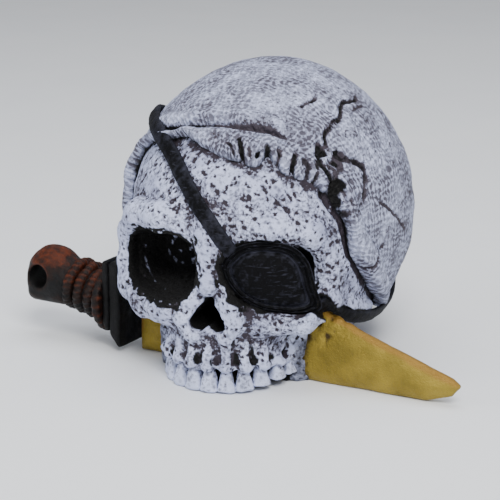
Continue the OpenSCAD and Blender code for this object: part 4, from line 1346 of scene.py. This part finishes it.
def make_blade(material):
    clay = Clay(steps(-32, 0.6, 71), steps(-3.4, 0.3, 3.4), steps(-0.6, 0.45, 23))

    def blade(x, y, z):
        d = outline_distance(x + 0 * z, z + 0 * x, BLADE)
        half = 0.7 + 1.8 * (1 - (1 - np.clip(-d / 5.5, 0, 1)) ** 2)
        return soft_max(np.abs(y) - half, d + 0.1, 0.7)
    clay.add(blade, k=0.01)
    p, faces = clay.skin()
    n = outward(p, [faces])
    x, z = p[:, 0], p[:, 2]
    crumple = ease(40 - x, 0, 12) * ease(z, 9, 16)
    push = 0.2 * rough(p, 6, 121, 2) + 0.14 * rough(p * (0.4, 1, 1), 2.5, 123, 2)
    push = push + 1.3 * crumple * rough(p * (1, 1, 0.7), 2.2, 125, 2)
    p = p + n * push[:, None]
    d = outline_distance(p[:, 0], p[:, 2], BLADE)
    edge = ease(1.9 + d + 0.6 * noise(p, 4, 127), 0, 1.0) * ease(z, 4, 7)
    hollow = hollowness(p, [faces], 7)
    # painted shade where the blade comes out of the jaw and beside the guard, also darker over the crumpled
    # top
    painted_joint_shade = 0.9 * ease(27.5 - x, 0, 5) * ease(x, 12, 20) + 0.35 * crumple + 0.35 * ease(-(x + 26), 0, 5)
    p[:, 2] = np.maximum(p[:, 2], 0.0)
    make("dagger_blade", in_dagger(p), [faces], material, replaces=("dagger_blade",),
         marks={"wash": np.clip(hollow * 3 + painted_joint_shade, -0.3, 1.3), "edge": edge})


def rounded_block(c, half, r):
    def field(x, y, z):
        q = [np.abs(v - m) - h + r for v, m, h in zip((x, y, z), c, half)]
        out = np.sqrt(sum(np.maximum(v, 0) ** 2 for v in q))
        return out + np.minimum(all_of(*q), 0) - r
    return field


def make_guard(black):
    clay = Clay(steps(-41, 0.4, -33), steps(-8.2, 0.45, 8.2), steps(0, 0.45, 28))
    clay.add(rounded_block((-35.9, 0, GUARD_MID), (1.9, 7.4, 12.9), 1.2), k=0.1)
    clay.add(rounded_block((-39, 0, GUARD_MID), (1.0, 7.4, 12.9), 0.8), k=0.3)
    clay.cut(lambda x, y, z: 0.6 * (z - 4.6) + 0.75 * (x + 37.2), k=0.8)
    p, faces = clay.skin()
    p = p + outward(p, [faces]) * (0.22 * rough(p, 3.5, 131, 2))[:, None]
    rub = 0.9 * ease(-p[:, 0], 37.6, 38.6) * (0.5 + 0.5 * np.sin(p[:, 1] * 3 + 2 * noise(p, 3, 133))) - 0.7
    make("dagger_guard", in_dagger(p), [faces], black, replaces=("dagger_guard",),
         marks={"hollow": raised_and_sunk(p, [faces], 5), "rub": rub})


def grip_frame(share):
    """Middle and axes of the grip at shares of its length, from the collar to the pommel."""
    whole = POMMEL - GRIP_START
    mid = GRIP_START + whole * np.asarray(share)[:, None]
    ahead = whole / np.linalg.norm(whole)
    side = np.array([0.0, 1.0, 0.0])
    return mid, ahead, side, np.cross(ahead, side)


def make_grip(material):
    share = np.linspace(0, 0.84, 60)
    mid, _, side, up = grip_frame(share)
    turn = np.linspace(0, math.tau, 56, endpoint=False)
    radius = GRIP_R + 0.3 * np.sin(share * 9)
    ring = side * np.cos(turn)[:, None] + up * np.sin(turn)[:, None]
    rings = mid[:, None] + ring[None] * radius[:, None, None]
    p, faces = loft(rings)
    p = p + outward(p, faces) * (0.3 * rough(p, 4, 141, 2))[:, None]
    # more copper brown towards the top
    make("dagger_grip", in_dagger(p), faces, material, replaces=("dagger_grip",),
         marks={"hollow": raised_and_sunk(p, faces, 5), "rub": 0.3 * ease(p[:, 2], 15, 22)})


def make_wraps(material):
    """Three turns of cord round the grip."""
    rings = []
    for k in range(3):
        share = (3.0 + 3.7 * k) / np.linalg.norm(POMMEL - GRIP_START)
        mid, ahead, side, up = grip_frame(np.array([share]))
        turn = np.linspace(0, math.tau, 240, endpoint=False)
        section = np.linspace(0, math.tau, 22, endpoint=False)
        out = side * np.cos(turn)[:, None] + up * np.sin(turn)[:, None]
        cord = 0.17 * np.sin(turn[:, None] * 26 + section)
        radius = GRIP_R + 1.5 * np.cos(section) + 0.12 * np.sin(turn[:, None] * 7 + k) + cord
        p = mid[0] + out[:, None] * radius[..., None] + ahead * (1.55 * np.sin(section))[None, :, None]
        rings.append(p)
    p, (quads,) = joined([loft(ring, wrap=True) for ring in rings])
    faces = [quads[:, ::-1]]
    p = p + outward(p, faces) * (0.16 * rough(p, 2.4, 145, 2))[:, None]
    # more copper brown towards the top
    rub = 0.5 * ease(p[:, 2], 12, 21) + 0.25 * rough(p, 4, 147, 2)
    make("grip_wrap", in_dagger(p), faces, material, replaces=("grip_wrap",),
         marks={"hollow": raised_and_sunk(p, faces, 5), "rub": rub})


def make_collar(material):
    x = np.array([0, 0.3, 0.9, 1.7, 2.3, 2.6])
    r = np.array([8.6, 9.3, 9.6, 9.6, 9.3, 8.6])
    turn = np.linspace(0, math.tau, 96, endpoint=False)
    rings = np.stack([np.repeat((COLLAR_BACK + x)[:, None], len(turn), 1), r[:, None] * np.cos(turn),
                      GUARD_MID + r[:, None] * np.sin(turn)], -1)
    p, faces = loft(rings)
    ribs = np.sin(22 * np.arctan2(p[:, 2] - GUARD_MID, p[:, 1]) + 2 * noise(p, 4, 153))
    p = p + outward(p, faces) * (0.18 * rough(p, 2.6, 151, 2) + 0.12 * ribs)[:, None]
    make("guard_collar", in_dagger(p), faces, material, replaces=("guard_collar",),
         marks={"hollow": raised_and_sunk(p, faces, 3), "rub": 0.25 + 0.25 * ribs})


def make_pommel(material):
    clay = Clay(steps(-71, 0.45, -51), steps(-8.6, 0.45, 8.6), steps(8.5, 0.45, 29))
    clay.add(egg(POMMEL, (8.9, 7.4, 8.9)), k=0.1)
    clay.add(egg(POMMEL + (5, 0, -1.5), (6.5, 6.8, 6.8)), k=1.5)
    clay.add(rounded_block(POMMEL + (0, 0, -2.5), (7.6, 6.4, 5.4), 3.0), k=1.0)
    hx, hz = POMMEL[0] - 2.4, POMMEL[2] + 0.2
    clay.cut(lambda x, y, z: np.hypot(x - hx, z - hz) - 2.6 - 0.02 * y ** 2, k=0.7)
    p, faces = clay.skin()
    p = p + outward(p, [faces]) * (0.35 * rough(p, 5, 155, 2) + 0.15 * rough(p, 2, 157, 2) - 0.2)[:, None]
    p = np.clip(p, [-69.9, -8, 9.4], [-50, 8, 27.9])
    by_hole = ease(4.2 - np.hypot(p[:, 0] - hx, p[:, 2] - hz), 0, 1.5)
    # more copper brown towards the top, less round the hole
    rub = 0.7 * ease(p[:, 2], 16, 26) + 0.35 * rough(p, 4, 158, 3) - 0.6 * by_hole
    make("dagger_pommel", in_dagger(p), [faces], material, replaces=("dagger_pommel",),
         marks={"hollow": raised_and_sunk(p, [faces], 6), "rub": rub})


# ---------------------------------------------------------------- the air parts and the base

def make_air_stone(material):
    low, high = [np.array(v) * 1000 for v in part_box("air_stone")]
    c, half = (low + high) / 2, (high - low) / 2
    clay = Clay(steps(low[0] - 1, 0.45, high[0] + 1), steps(low[1] - 1, 0.45, high[1] + 1),
                steps(low[2] - 1, 0.45, high[2] + 1))

    def stone(x, y, z):
        d = np.hypot(x - c[0], z - c[2]) - half[0]
        return soft_max(d, np.abs(y - c[1]) - half[1], 1.2)
    clay.add(stone, k=0.1)
    p, faces = clay.skin()
    near, _ = holes(p, 1.6, 161)
    p = p - outward(p, [faces]) * (0.3 * ease(0.7 - near, 0, 0.4) + 0.12)[:, None]
    make("air_stone", p, [faces], material, body="air_stem", replaces=("air_stone",),
         marks={"hollow": raised_and_sunk(p, [faces], 4)})


def dress(node, material):
    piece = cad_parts[node]
    piece.data.materials.clear()
    piece.data.materials.append(material)


def build():
    bone = resin_white("bone_painted_resin")
    teeth = resin_white("tooth_painted_resin", light="d6ddfb", shade="bcc3de", wash="4a444e")
    cloth = resin_white("cloth_painted_resin", woven=True, light="ccd3f2", shade="a6abc6", wash="423b44")
    black = resin_black("leather_painted_resin")
    thread = resin_black("thread_painted_resin", base="121218", rub="5c5e6e")
    gold = gold_paint()
    brown = handle_paint("copper_rubbed_resin")
    guard = handle_paint("black_guard_resin", base="030304", mid="0c0908", rub="4a2a18")
    clay = sculpt_skull()
    p, faces, marks = carve_skull(clay)
    make("skull_shell", p, faces, bone, replaces=("skull_shell",), marks=marks)
    make_teeth("front_teeth", (-31, -15, 0, 15, 30, 45), 5.9, teeth)
    make_teeth("cheek_teeth", (-78, -62, -47, 60, 74), 5.6, teeth)
    make_scarf(cloth)
    make_hem(cloth)
    make_knot(cloth)
    make_tail("scarf_tail_left", False, cloth)
    make_tail("scarf_tail_right", True, cloth)
    make_patch(black)
    make_patch_rim(black)
    make_strap("upper_strap", STRAP_ROUTE, clay, black)
    make_strap("lower_strap", LOW_ROUTE, clay, black, 120)
    make_stitches(thread)
    make_blade(gold)
    make_guard(guard)
    make_collar(brown)
    make_grip(brown)
    make_wraps(brown)
    make_pommel(brown)
    make_air_stone(moulded("sintered_grit_stone", "7f8fae", "4d5a78", 0.85, 0.8, 0.3))
    dress("base_plate", moulded("plain_cast_resin", "6b6468", "4a4448", 0.6, 1.6, 0.2))
    dress("inlet_bushing", moulded("black_nylon", "25262b", "1b1c20", 0.4, 1.0, 0.05))
    dress("bung", moulded("nitrile_rubber", "202124", "2c2e31", 0.7, 0.6, 0.08))
    dress("inlet_nipple", moulded("grey_abs", "c8cacc", "b4b7ba", 0.3, 1.2, 0.03))
    dress("stone_cup", moulded("grey_abs_cup", "c8cacc", "b4b7ba", 0.3, 1.2, 0.03))
    dress("air_tube", moulded("clear_pvc_tube", "dfe8e6", "cfdad7", 0.12, 2.0, 0.02,
                              **{"Transmission Weight": 0.7, "IOR": 1.45}))


set_camera()
set_lights()
add_floor()
build()
